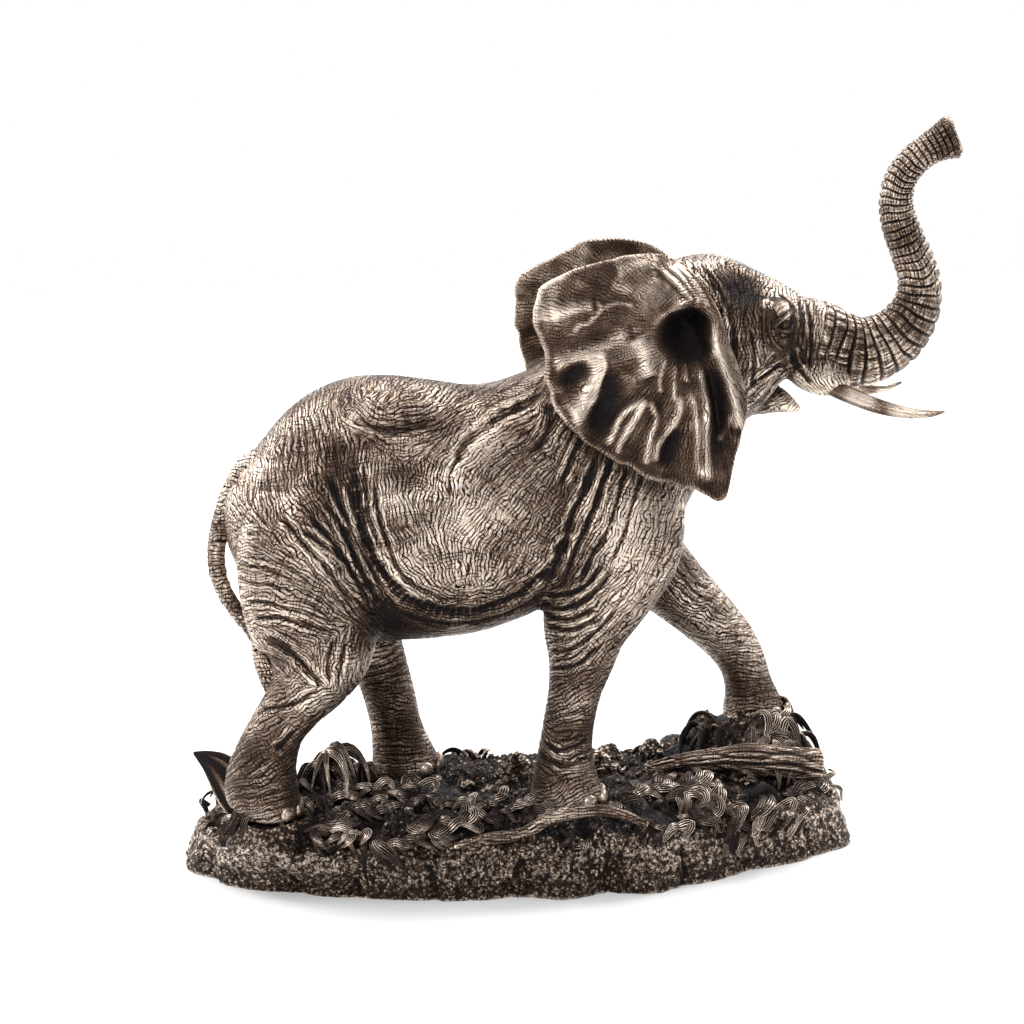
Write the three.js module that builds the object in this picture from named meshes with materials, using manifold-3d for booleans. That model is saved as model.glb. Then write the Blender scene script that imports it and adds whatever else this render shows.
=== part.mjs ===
// A walking elephant with its trunk raised, cast with two tusks that stand on a modelled piece of ground.
// Millimetres, +Z up. The elephant faces +X, and its right side is towards -Y.
// The origin is the middle of the ground's flat underside.

import * as THREE from "three";
import Module from "manifold-3d";

const wasm = await Module();
wasm.setup();

// Driving dimensions of the elephant
const backHeight = 164; // from the ground to the top of the back
const drawnBackHeight = 164; // the same height in the drawing that the stations below are taken from
const trunkWrinkles = 25; // folds round the trunk
const trunkWrinkleDepth = 0.5;
const earRimThickness = 2.2;
const earRootThickness = 6;
const earRootStand = 24.5; // from the middle plane to the ear's root
const leftEarCornerTrim = 5.5; // how much rounder the left ear's upper corner is
const earHollow = [8.5, 11, 9.5]; // half its length, depth and height
const toeNail = [2.4, 2.8, 2.7]; // half its thickness, width and height
const tuskSocketClearance = 0.3;

// Driving dimensions of the ground
const standingLevel = 28; // the level that three of the feet stand on
const stepHeight = 17.5; // the rise under the left forefoot
const footingClearance = 0.3; // between a sole and the ground
const footingMargin = 3.6; // between a foot's side and the edge of its print in the ground
const footingDepth = 6; // of firm ground under a foot
const ledgeHeight = 15; // where the ground's side turns over into its top
const rimDrop = 8; // how far the ground's top falls towards its edge
const logDiameter = 13;
const branchDiameter = 4.4;
const bladeWidth = 6;
const bladeThickness = 3;

const scale = backHeight / drawnBackHeight;

// Helpers for curves and closed skins

const TAU = 2 * Math.PI;
const at = (x, y, z) => new THREE.Vector3(x, y, z);
const smooth = (from, to, v) => THREE.MathUtils.smoothstep(v, from, to);

/** Catmull-Rom interpolation through rows of numbers, at t from 0 to 1 along the rows. */
function between(rows, t) {
  const place = Math.min(t, 1 - 1e-9) * (rows.length - 1);
  const i = Math.floor(place);
  const f = place - i;
  const row = (n) => rows[THREE.MathUtils.clamp(n, 0, rows.length - 1)];
  return rows[0].map((_, column) => {
    const [a, b, c, d] = [i - 1, i, i + 1, i + 2].map((n) => row(n)[column]);
    const bend = 2 * a - 5 * b + 4 * c - d;
    const twist = 3 * (b - c) + d - a;
    return b + 0.5 * f * (c - a + f * (bend + f * twist));
  });
}

/** The rows' interpolated numbers where their first column, which rises, has a given value. */
function lookUp(rows, value) {
  const next = rows.findIndex(([key]) => key > value);
  if (next < 1) return next === 0 ? rows[0] : rows[rows.length - 1];
  const step = (value - rows[next - 1][0]) / (rows[next][0] - rows[next - 1][0]);
  return between(rows, (next - 1 + step) / (rows.length - 1));
}

/** A solid from a closed skin over rings of equally many points, with a flat lid at either end. */
function skin(rings) {
  const sides = rings[0].length;
  const corners = rings.flat();
  const faces = [];
  for (let i = 0; i < rings.length - 1; i++) {
    for (let j = 0; j < sides; j++) {
      const a = i * sides + j;
      const b = i * sides + ((j + 1) % sides);
      faces.push([a, b, a + sides], [b, b + sides, a + sides]);
    }
  }
  [0, rings.length - 1].forEach((i) => {
    const middle = rings[i].reduce((sum, p) => sum.add(p), at(0, 0, 0));
    corners.push(middle.divideScalar(sides));
    for (let j = 0; j < sides; j++) {
      const edge = [i * sides + j, i * sides + ((j + 1) % sides)];
      faces.push([corners.length - 1, ...(i === 0 ? edge.reverse() : edge)]);
    }
  });
  return solidOf(corners, faces);
}

/** A solid from corners and triangles, turned right side out. */
function solidOf(corners, faces) {
  const inside = faces.reduce((sum, [a, b, c]) => {
    const across = corners[b].clone().cross(corners[c]);
    return sum + corners[a].dot(across);
  }, 0);
  const outward = inside < 0 ? faces.map(([a, b, c]) => [a, c, b]) : faces;
  return new wasm.Manifold(
    new wasm.Mesh({
      numProp: 3,
      vertProperties: new Float32Array(corners.flatMap((p) => p.toArray())),
      triVerts: new Uint32Array(outward.flat()),
    }),
  );
}

/**
 * A limb: rows of x, y, z, half-thickness fore and aft, and half-thickness across, down its length.
 * Its relief swells it at a share of its length and an angle round it. A limb that stands ends level.
 */
function limb(rows, rings, sides, relief = () => 0, stands = false) {
  const rowsAt = Array.from({ length: rings }, (_, i) => i / (rings - 1));
  return skin(
    rowsAt.map((t) => {
      const [x, y, z, fore, across] = between(rows, t);
      const [x0, y0, z0] = between(rows, Math.max(t - 0.01, 0));
      const [x1, y1, z1] = between(rows, Math.min(t + 0.01, 1));
      const along = at(x1 - x0, y1 - y0, z1 - z0).normalize();
      if (stands) along.lerp(at(0, 0, -1), smooth(0.7, 0.97, t)).normalize();
      const side = at(0, 1, 0).addScaledVector(along, -along.y).normalize();
      const front = new THREE.Vector3().crossVectors(side, along);
      return Array.from({ length: sides }, (_, j) => {
        const angle = (j / sides) * TAU;
        const swell = relief(t, angle);
        return at(x, y, z)
          .addScaledVector(front, (fore + swell) * Math.cos(angle))
          .addScaledVector(side, (across + swell) * Math.sin(angle));
      });
    }),
  );
}

/** An egg shape, turned about the Y axis. */
function egg(centre, radii, tilt = 0, detail = [12, 8]) {
  const shape = new THREE.SphereGeometry(1, ...detail);
  const rows = shape.attributes.position;
  const [around, down] = detail;
  const turn = new THREE.Matrix4().makeRotationY(tilt);
  const corner = (i, j) =>
    new THREE.Vector3()
      .fromBufferAttribute(rows, i * (around + 1) + j)
      .multiply(radii)
      .applyMatrix4(turn)
      .add(centre);
  const rings = Array.from({ length: down - 1 }, (_, i) =>
    Array.from({ length: around }, (_, j) => corner(i + 1, j)),
  );
  return skin(rings);
}

const join = (solids) => wasm.Manifold.union(solids);
const mirrored = (rows) => rows.map(([x, y, ...rest]) => [x, -y, ...rest]);

// The elephant. Its stations are in the drawing's millimetres above the ground that it stands on.

// Rump to brow, as upright cross-sections: x, top, bottom, half-width, height of the widest part
const bodyRows = [
  [-115.5, 118, 107, 6, 112],
  [-113, 123.5, 97, 15, 110],
  [-108, 130.5, 87, 23, 107],
  [-100, 140.5, 76, 30, 104],
  [-91, 151, 67, 34, 102],
  [-80, 159, 61.5, 36.5, 101],
  [-66, 164, 61, 38, 102],
  [-50, 164.4, 62, 39.5, 102],
  [-34, 162.2, 62.5, 40.5, 101],
  [-18, 160, 64.5, 40, 102],
  [-3, 163, 69, 38.5, 105],
  [11, 169.5, 75, 36.5, 110],
  [25, 180, 80, 34, 115],
  [38, 192, 85, 32, 122],
  [49, 201, 92, 30, 134],
  [58, 206.5, 101, 28.5, 150],
  [66, 208.6, 116, 27.5, 160],
  [74, 209, 131, 27, 167],
  [82, 207, 141, 26.8, 171],
  [89, 203.6, 146.5, 26, 174],
  [95, 200.6, 153, 24.5, 176],
  [101, 197.6, 160, 22.3, 177],
  [109, 193.4, 158.5, 18.8, 175],
  [117, 187.6, 156.5, 16.6, 172],
  [124, 184, 157, 14.6, 170],
  [130, 180, 160, 9, 170],
];

// Root to tip, on the middle plane: x, y, z, half-thickness in the middle plane, and across
const trunkRows = [
  [104, 0, 176, 14.5, 15.5],
  [114, 0, 172.6, 15, 15.8],
  [124, 0, 169.8, 14.3, 15],
  [134, 0, 170, 13, 13.6],
  [143, 0, 173.4, 11.6, 12.2],
  [150, 0, 179.5, 10.2, 11],
  [154.4, 0, 187.5, 8.9, 9.8],
  [155.4, 0, 196.3, 7.9, 8.8],
  [153, 0, 205.2, 7.5, 8.1],
  [149.6, 0, 213.6, 7.1, 7.6],
  [146.8, 0, 221.8, 6.6, 7.1],
  [145.8, 0, 230, 6.2, 6.7],
  [147.9, 0, 237.8, 5.9, 6.4],
  [152.8, 0, 244.2, 5.7, 6.1],
  [159, 0, 248.6, 5.9, 6],
  [164, 0, 251.2, 7.2, 6.4],
  [167.6, 0, 252.8, 8.6, 6.8],
];

// Legs, shoulder or hip to sole: x, y, z, half-thickness fore and aft, and across
const rightForelegRows = [
  [33, -20, 128, 24, 12],
  [33, -23, 112, 27, 15],
  [31, -25, 98, 26, 16.5],
  [26, -26, 84, 21.5, 16],
  [21, -26.5, 70, 17, 14.5],
  [19, -27, 57, 12.9, 12.4],
  [16.6, -27, 45, 10.3, 10.6],
  [14.4, -27, 33, 9.8, 10],
  [13, -27, 21, 10.5, 10.6],
  [13, -27, 11, 12.4, 12.3],
  [13.6, -27, 4, 14.2, 13.8],
  [13.8, -27, 0, 13.6, 13.2],
];
const leftForelegRows = [
  [28, 20, 126, 23, 12],
  [32, 22, 111, 24, 14],
  [41, 24, 97, 21, 15],
  [53, 26, 84, 16.8, 14.5],
  [66, 27, 71.5, 13.6, 13.2],
  [79, 27, 59, 11.6, 11.8],
  [88.5, 27, 48.5, 10.4, 10.6],
  [93.6, 27, 39.5, 9.4, 9.8],
  [96, 27, 31, 9.6, 10],
  [97.6, 27, 24.5, 11.4, 11.4],
  [98.6, 27, 20, 12.8, 12.6],
  [98.8, 27, 17.5, 12.6, 12.4],
];
const rightHindlegRows = [
  [-82, -20, 122, 22, 12],
  [-84.5, -23, 106, 27, 15],
  [-84.5, -25.5, 91, 27.5, 17],
  [-83.5, -27, 76, 25.6, 17],
  [-82.5, -28, 63, 21, 15.5],
  [-86, -28, 52.5, 15.6, 13.4],
  [-92, -28, 43.5, 11.8, 11.6],
  [-98, -28, 34.5, 10.8, 10.8],
  [-102, -28, 25.5, 11.8, 11.2],
  [-104.2, -28, 16.5, 13.6, 12.4],
  [-104.2, -28, 9, 14, 13.4],
  [-102, -28, 3, 12.2, 12.8],
  [-100.6, -28, 0, 10.2, 11.6],
];
const leftHindlegRows = [
  [-80, 20, 122, 22, 12],
  [-79.5, 23, 106, 26, 14.5],
  [-76, 25, 90, 25, 16],
  [-69.5, 26.5, 75, 21.5, 15.5],
  [-61.5, 27, 61, 16, 13.8],
  [-55.5, 27, 49, 12.2, 12],
  [-51.5, 27, 38.5, 10.6, 10.8],
  [-48.8, 27, 28.5, 10.2, 10.4],
  [-47, 27, 19.5, 10.2, 10.6],
  [-45, 27, 11, 11.6, 11.8],
  [-43, 27, 4, 13.4, 13.4],
  [-42.6, 27, 0, 12.8, 12.8],
];
const soles = [
  rightForelegRows,
  leftForelegRows,
  rightHindlegRows,
  leftHindlegRows,
].map((rows) => rows[rows.length - 1]);

const tailRows = [
  [-101, 0, 133, 6, 6],
  [-107, 0, 129, 5, 5.4],
  [-111.6, 0, 122, 4.3, 4.6],
  [-115.4, 0, 113, 3.8, 4.1],
  [-118, 0, 103, 3.6, 3.9],
  [-118.6, -1, 93, 3.5, 3.7],
  [-116.6, -4, 84, 3.3, 3.5],
  [-112, -9, 76.6, 3, 3.2],
  [-106.6, -15, 70, 2.8, 3],
  [-102.9, -19, 63, 3.6, 4],
  [-99.3, -21.5, 54.5, 3.8, 5],
  [-96, -23, 46, 1.4, 2.4],
];

const jawRows = [
  [84, 0, 155, 9, 14],
  [92, 0, 153.4, 7.4, 11.5],
  [99, 0, 152, 5.6, 8.6],
  [105, 0, 149.6, 3.2, 5.4],
  [109.4, 0, 147.4, 0.9, 1.6],
];

// The tusks: x, y, z, and the two half-thicknesses, from the root inside the lip to the point
const rightTuskRows = [
  [107, -14.6, 164.5, 2.9, 2.9],
  [115, -17.2, 160.6, 3.3, 3.3],
  [124, -20.2, 156.4, 3.2, 3.2],
  [134, -23.8, 152.6, 2.9, 2.9],
  [144, -27.6, 150.4, 2.3, 2.3],
  [152, -31, 150.2, 1.5, 1.5],
  [158.2, -33.8, 151.4, 0.5, 0.5],
];

// The ear's ribs about its hollow, from the top of the head round to the front lobe:
// direction in degrees from +X, reach, distance of the rim from the middle plane, and how proud the rib stands
const earHub = at(64, 0, 183);
const earRibs = [
  [38, 10, 22, 0],
  [64, 13, 22, 0],
  [84, 18, 21, 0],
  [99, 23, 21, 0],
  [113, 30, 24, 0],
  [128, 37, 27, -0.6],
  [143, 46, 30, -1],
  [155, 56, 32.5, -0.4],
  [164, 64.5, 34, 0.6],
  [173, 64, 35, 1.4],
  [180, 61, 35.5, -1.2],
  [187, 60.5, 36, 0.6],
  [194, 61, 36.5, 1.6],
  [202, 61, 37.5, -2.2],
  [211, 60.5, 39, 2.2],
  [221, 58.5, 40, -2.8],
  [232, 56.5, 41, 2.2],
  [238.5, 55.5, 41.5, -1.4],
  [246, 55.5, 42, 1.4],
  [256.5, 55, 42, -2.6],
  [265, 57, 41.5, 1.4],
  [271, 60, 41, -1],
  [277, 60, 40, 2.4],
  [281.5, 52, 39, -1.6],
  [288, 42, 37, 1.2],
  [299, 34, 33.5, 1],
  [312, 23, 30, 0],
];

/** An ear: two faces over its ribs, thick at the root and thin at the rim. */
function ear(side) {
  const reaches = [0, 0.3, 0.58, 0.82, 1];
  const point = ([degrees, fullReach, stand, rib], u, face) => {
    const angle = THREE.MathUtils.degToRad(degrees);
    const trim = side > 0 ? leftEarCornerTrim * (1 - smooth(3, 22, Math.abs(degrees - 160))) : 0;
    const reach = fullReach - trim;
    const radius = 3 + (reach - 3) * u;
    const thickness = THREE.MathUtils.lerp(earRootThickness, earRimThickness, u);
    const depth = THREE.MathUtils.lerp(earRootStand, stand, u) + rib * smooth(0.1, 0.7, u);
    const across = side * (depth + (face * thickness) / 2);
    return at(earHub.x + radius * Math.cos(angle), across, earHub.z + radius * Math.sin(angle));
  };
  return skin(
    earRibs.map((rib) => [
      ...reaches.map((u) => point(rib, u, 1)),
      ...reaches.map((u) => point(rib, u, -1)).reverse(),
    ]),
  );
}

function body() {
  const rings = 28;
  const sides = 14;
  const corner = ([x, top, bottom, half, widest], angle) => {
    const [out, up] = [Math.cos(angle), Math.sin(angle)];
    const reach = up > 0 ? top - widest : widest - bottom;
    return at(x, half * Math.sign(out) * Math.abs(out) ** 0.9, widest + reach * up);
  };
  return skin(
    Array.from({ length: rings }, (_, i) =>
      Array.from({ length: sides }, (_, j) =>
        corner(between(bodyRows, i / (rings - 1)), (j / sides) * TAU),
      ),
    ),
  );
}

/** The trunk, with folds that grow closer towards its tip. */
function trunk() {
  const wave = (t) => Math.cos(TAU * trunkWrinkles * t);
  const relief = (t) => trunkWrinkleDepth * wave(t) * smooth(0.05, 0.2, t);
  return limb(trunkRows, 2 * trunkWrinkles + 1, 9, relief);
}

function leg(rows) {
  return limb(rows, 13, 10, undefined, true);
}

/** Nails round the front of a foot. */
function toes([x, y, z, fore, across]) {
  return [-48, -8, 34].map((degrees) => {
    const angle = THREE.MathUtils.degToRad(degrees);
    const centre = at(x + fore * Math.cos(angle), y + across * Math.sin(angle), z + 3.5);
    return egg(centre, at(...toeNail), 0, [6, 4]);
  });
}

/** Brow, eye, cheek, tusk sheath and ear root of one side. */
function face(side) {
  return [
    egg(at(93.5, side * 19, 189.5), at(8.5, 5, 3.6), 0.5, [8, 6]),
    egg(at(97.8, side * 21.6, 184), at(2.8, 2.4, 2.4), 0, [6, 4]),
    egg(at(90, side * 18.5, 172), at(9, 6.5, 12), 0.2, [8, 6]),
    egg(at(107, side * 12.8, 164.5), at(10, 6.6, 6.6), 0.42, [10, 6]),
    egg(at(72, side * 18, 172), at(12, 9, 24), 0.1, [10, 6]),
  ];
}

/** The space that a tusk takes in its lip, with clearance round it. */
function tuskSocket(rows) {
  const grown = rows.map(([x, y, z, ...radii]) => [x, y, z, ...radii.map((r) => r + tuskSocketClearance)]);
  const [x, y, z, radius] = grown[0];
  return join([tusk(grown), egg(at(x, y, z), at(radius, radius, radius).addScalar(0.4), 0, [10, 6])]);
}

function tusk(rows) {
  return limb(rows, 8, 9);
}

function elephantSolid() {
  const cast = join([
    body(),
    trunk(),
    leg(rightForelegRows),
    leg(leftForelegRows),
    leg(rightHindlegRows),
    leg(leftHindlegRows),
    limb(tailRows, 13, 7),
    limb(jawRows, 6, 10),
    ...face(1),
    ...face(-1),
    ear(1),
    ear(-1),
    ...soles.flatMap(toes),
  ]);
  const hollows = [-1, 1].map((side) =>
    egg(at(earHub.x + 1, side * 28, earHub.z), at(...earHollow), 0.2, [10, 6]),
  );
  const sockets = [rightTuskRows, mirrored(rightTuskRows)].map(tuskSocket);
  return cast.subtract(join([...hollows, ...sockets])).scale([scale, scale, scale]);
}

// The ground

/** The foot's place on the ground, in the part's own frame. */
const footings = soles.map(([x, y, z, fore]) => ({
  x: x * scale,
  y: y * scale,
  level: standingLevel + z * scale,
  radius: fore * scale + footingMargin,
}));

/** A gentle unevenness that is the same each time. */
const ripple = (x, y) =>
  Math.sin(x / 7.3 + 1.3 * Math.sin(y / 9.1)) * Math.cos(y / 6.4 - 0.8 * Math.sin(x / 11.7));

// The ground's outline: direction in degrees from +X, reach at the bottom and at the ledge
const groundRows = [
  [-24, 90, 88],
  [0, 131, 128],
  [12, 122, 120],
  [25, 102, 100],
  [40, 80, 79],
  [58, 64, 63],
  [75, 57, 55],
  [90, 55, 54],
  [107, 58, 56],
  [125, 67, 65],
  [143, 85, 84],
  [158, 107, 105],
  [170, 126, 123],
  [180, 131, 128],
  [188, 124, 125],
  [195, 115, 122],
  [203, 99, 112],
  [212, 87, 94],
  [222, 76, 79],
  [232, 70, 70],
  [246, 60, 60],
  [262, 57, 56],
  [280, 59.5, 58.5],
  [296, 62, 60.5],
  [307, 71, 69],
  [320, 76, 75],
  [332, 85, 83],
  [342, 99, 97],
  [351, 118, 115],
  [360, 131, 128],
  [372, 122, 120],
];

/** The level of the ground's top at a place: uneven, with a flat footing under each foot. */
function groundLevel(x, y) {
  const step = footings[1];
  const rise = stepHeight * scale * (1 - smooth(15, 34, Math.hypot((x - step.x) * 0.8, y - step.y)));
  const direction = (THREE.MathUtils.radToDeg(Math.atan2(y, x)) + 360) % 360;
  const edge = smooth(0.7, 1, Math.hypot(x, y) / lookUp(groundRows, direction)[2]);
  let level = standingLevel + rise + 1.5 * ripple(x, y) - rimDrop * edge;
  footings.forEach((foot) => {
    const away = Math.hypot(x - foot.x, y - foot.y);
    const near = 1 - smooth(foot.radius * 0.8, foot.radius * 1.4, away);
    level = THREE.MathUtils.lerp(level, foot.level, near);
  });
  return level;
}

/** The ground: rings of points out from its middle, then down its side. */
function groundSolid() {
  const around = 36;
  const ring = (share, level, ledge = 1) =>
    Array.from({ length: around }, (_, j) => {
      const angle = (j / around) * TAU;
      const [, low, high] = lookUp(groundRows, (j / around) * 360);
      const reach = THREE.MathUtils.lerp(low, high, ledge) * share;
      const [x, y] = [reach * Math.cos(angle), reach * Math.sin(angle)];
      return at(x, y, level === undefined ? groundLevel(x, y) : level);
    });
  return skin([
    ring(0.985, 0, 0),
    ring(1, 2, 0),
    ring(1.01, ledgeHeight * 0.5, 0.5),
    ring(1, ledgeHeight),
    ...[0.93, 0.81, 0.69, 0.57, 0.44, 0.3, 0.15].map((share) => ring(share)),
  ]);
}

/** A log lying under the step, thinner and half buried towards its left end: a bark of long ridges. */
function log() {
  const r = logDiameter / 2;
  const bark = (t, angle) => 0.5 * Math.cos(4 * angle + 2 * t);
  const rows = [
    [120, 0, 3, r, r],
    [108, 0, 4.2, r * 1.05, r * 1.05],
    [92, 0, 6.4, r, r],
    [78, 1, 6.6, r * 0.8, r * 0.8],
    [64, 2, 6.5, r * 0.6, r * 0.6],
    [50, 3, 4, r * 0.5, r * 0.5],
  ];
  const placed = rows.map(([x, y, z, ...radii]) => [x, y, z + standingLevel, ...radii]);
  return limb(placed, 9, 9, bark);
}

/** A broken branch that lies along the front edge. */
function branch() {
  const r = branchDiameter / 2;
  const rows = [
    [-33, -50, -9, r * 0.9, r],
    [-22, -51, -6, r * 1.1, r * 1.1],
    [-7, -51, -4.2, r, r],
    [4, -50, 1, r * 1.15, r * 1.1],
    [20, -50, 3.4, r * 0.95, r],
    [31, -50, 1.6, r * 0.85, r * 0.9],
    [41, -51, -3, r * 0.5, r * 0.5],
  ];
  const placed = rows.map(([x, y, z, ...radii]) => [x, y, z + standingLevel, ...radii]);
  return limb(placed, 11, 6);
}

/** One blade of grass or leaf that springs from a place and bends over. */
function blade([x, y], heading, length, rise) {
  const [dx, dy] = [Math.cos(heading), Math.sin(heading)];
  const z = groundLevel(x, y) - 2;
  const steps = [0, 0.5, 1];
  return skin(
    steps.map((t) => {
      const spread = (bladeWidth / 2) * Math.sin(Math.PI * (0.25 + 0.72 * t));
      const thick = (bladeThickness / 2) * (1 - 0.7 * t);
      const centre = at(
        x + dx * length * t,
        y + dy * length * t,
        z + rise * Math.sin(Math.PI * 0.62 * t) + 1,
      );
      return [
        centre.clone().add(at(-dy * spread, dx * spread, -thick)),
        centre.clone().add(at(dy * spread, -dx * spread, -thick)),
        centre.clone().add(at(0, 0, thick * 1.6)),
      ];
    }),
  );
}

// Clumps of grass: x, y, heading in degrees, blades, length, rise
const clumps = [
  [-112, -4, 168, 2, 20, 17],
  [-74, -4, 45, 4, 24, 16],
  [-66, -34, -50, 3, 20, 7],
  [-42, -42, -75, 3, 18, 8],
  [66, -30, -20, 3, 22, 6],
  [80, -26, -40, 2, 18, 5],
  [116, 6, 0, 2, 13, 13],
  [-14, 38, 100, 3, 20, 8],
  [44, 40, 70, 3, 20, 8],
  [-96, 26, 140, 3, 20, 8],
];

function clump([x, y, heading, blades, length, rise]) {
  return Array.from({ length: blades }, (_, i) => {
    const spread = (i / (blades - 1) - 0.5) * 100;
    const angle = THREE.MathUtils.degToRad(heading + spread);
    const reach = length * (0.8 + 0.25 * Math.cos(5 * i));
    return blade([x, y], angle, reach, rise * (0.75 + 0.3 * Math.sin(3 * i + x)));
  });
}

// Stones: x, y, size
const stones = [
  [-4, 8, 8],
  [40, 34, 7],
  [52, 18, 6],
  [-70, -14, 6],
  [66, 40, 7],
  [-12, -40, 5],
];

function stone([x, y, size]) {
  return egg(at(x, y, groundLevel(x, y)), at(size, size * 0.7, size * 0.8), x, [6, 4]);
}

/** An upright round block between two levels, wider at its top by a flare. */
function block({ x, y, radius }, bottom, top, flare) {
  const round = (r, z) =>
    Array.from({ length: 12 }, (_, j) =>
      at(x + r * Math.cos((j / 12) * TAU), y + r * Math.sin((j / 12) * TAU), z),
    );
  return skin([round(radius, bottom), round(radius + flare, top)]);
}

/** The ground with all that lies and grows on it, and a level print under each foot. */
function groundPiece() {
  const pads = footings.map((foot) => block(foot, foot.level - footingDepth, foot.level, -2.5));
  const prints = footings.map((foot) =>
    block(foot, foot.level - footingClearance, foot.level + footingDepth, 4),
  );
  return join([
    groundSolid(),
    log(),
    branch(),
    ...pads,
    ...clumps.flatMap(clump),
    ...stones.map(stone),
  ]).subtract(join(prints));
}

// The part

const bronze = new THREE.MeshStandardMaterial({ color: 0x6b523c, roughness: 0.42, metalness: 0.85 });
const darkBronze = new THREE.MeshStandardMaterial({ color: 0x4a3a2c, roughness: 0.5, metalness: 0.8 });
const paleBronze = new THREE.MeshStandardMaterial({ color: 0x8d7257, roughness: 0.36, metalness: 0.85 });

function mesh(name, solid, material) {
  const made = solid.getMesh();
  const geometry = new THREE.BufferGeometry()
    .setAttribute("position", new THREE.BufferAttribute(made.vertProperties, 3))
    .setIndex(new THREE.BufferAttribute(made.triVerts, 1));
  geometry.computeVertexNormals();
  const piece = new THREE.Mesh(geometry, material);
  piece.name = name;
  return piece;
}

const statue = new THREE.Group();
const figure = new THREE.Group();
figure.position.z = standingLevel;
figure.add(
  mesh("elephant", elephantSolid(), bronze),
  mesh("right_tusk", tusk(rightTuskRows).scale([scale, scale, scale]), paleBronze),
  mesh("left_tusk", tusk(mirrored(rightTuskRows)).scale([scale, scale, scale]), paleBronze),
);
statue.add(figure, mesh("ground_base", groundPiece(), darkBronze));

export default statue;
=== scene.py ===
"""A bronze-finished elephant with its trunk raised, on ground with a log, a branch, grass and stones.

Lengths in the tables are millimetres above the ground that the elephant stands on. +X is the way it faces.
"""
import math

import bpy
import numpy as np
from mathutils import Matrix, Vector


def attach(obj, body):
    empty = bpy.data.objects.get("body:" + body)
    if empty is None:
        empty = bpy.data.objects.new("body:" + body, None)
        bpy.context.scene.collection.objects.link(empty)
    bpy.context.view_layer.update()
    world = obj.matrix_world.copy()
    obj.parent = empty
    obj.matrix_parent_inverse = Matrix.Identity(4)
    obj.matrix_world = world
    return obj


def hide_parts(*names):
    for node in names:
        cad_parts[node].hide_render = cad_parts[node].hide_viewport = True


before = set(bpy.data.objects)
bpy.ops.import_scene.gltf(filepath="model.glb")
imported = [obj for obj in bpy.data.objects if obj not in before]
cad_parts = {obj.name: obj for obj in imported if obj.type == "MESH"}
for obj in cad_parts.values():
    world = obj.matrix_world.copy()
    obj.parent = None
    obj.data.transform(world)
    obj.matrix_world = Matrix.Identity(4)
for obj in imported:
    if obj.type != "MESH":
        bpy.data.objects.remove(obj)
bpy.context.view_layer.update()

bl_info = {
    "name": "Walking elephant statue",
    "version": (1, 0, 0),
    "blender": (4, 5, 0),
    "location": "View3D > Sidebar > Statue",
    "description": "Builds a bronze-finished elephant on a modelled piece of ground",
    "category": "Add Mesh",
}

TAU = 2 * math.pi
LEVEL = 28.0  # the ground that three of the feet stand on
MM = 0.001

# Rump to brow: x, top, bottom, half-width, height of the widest part
BODY = [
    [-115.5, 118, 107, 6, 112], [-113, 123.5, 97, 15, 110], [-108, 130.5, 87, 23, 107],
    [-100, 140.5, 76, 30, 104], [-91, 151, 67, 34, 102], [-80, 159, 61.5, 36.5, 101],
    [-66, 164, 61, 38, 102], [-50, 164.4, 62, 39.5, 102], [-34, 162.2, 62.5, 40.5, 101],
    [-18, 160, 64.5, 40, 102], [-3, 163, 69, 38.5, 105], [11, 169.5, 75, 36.5, 110],
    [25, 180, 80, 34, 115], [38, 192, 85, 32, 122], [49, 201, 92, 30, 134],
    [58, 206.5, 101, 28.5, 150], [66, 208.6, 116, 27.5, 160], [74, 209, 131, 27, 167],
    [82, 207, 141, 26.8, 171], [89, 203.6, 146.5, 26, 174], [95, 200.6, 153, 24.5, 176],
    [101, 197.6, 160, 22.3, 177], [108, 193.4, 159, 19, 175], [114, 188.4, 159.5, 15.5, 173],
    [120, 182, 162, 10, 172],
]
DIRECTIONS = 12  # in which grooves are counted, over half a turn
HIDE_CELL = 0.78  # width of the cells that join the elephant's parts
BELLY_SEAM = -26.0  # the hide behind this x is the hindquarters
NECK_SEAM = (58, 42, 9952)  # the head is where the first times x and the second times z pass the third
# Root to tip: x, y, z, half-thickness in the middle plane, and across
TRUNK = [
    [105, 0, 176.2, 14.6, 15.2], [110.5, 0, 174.8, 16.9, 17.6], [118, 0, 172.2, 16, 16.6],
    [125, 0, 170.3, 14.6, 15.2], [134, 0, 170, 13.1, 13.7], [143.4, 0, 173.2, 11.8, 12.4],
    [150.6, 0, 179.3, 10.5, 11.2], [155, 0, 187.5, 9.1, 9.9], [155.9, 0, 196.3, 8.1, 8.8],
    [153.4, 0, 205.2, 7.6, 8.1], [149.8, 0, 213.6, 7.1, 7.6], [146.9, 0, 221.8, 6.6, 7.1],
    [145.9, 0, 230, 6.2, 6.7], [147.9, 0, 237.8, 5.9, 6.4], [152.8, 0, 244.2, 5.7, 6.1],
    [159, 0, 248.6, 5.9, 6], [164, 0, 251.2, 7.1, 6.4], [167.4, 0, 252.8, 8.4, 6.8],
]
TOES = (-62, -24, 14, 50)  # directions of the nails in degrees from +X
HAIRS = 13  # in the tail's tuft
# The trunk's open end: share of its width, and how far that ring stands forward
TRUNK_LIP = ((1.0, 0.7), (0.93, 1.3), (0.8, 1.2), (0.68, 0.2), (0.5, -1.6), (0.2, -2.6))
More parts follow.
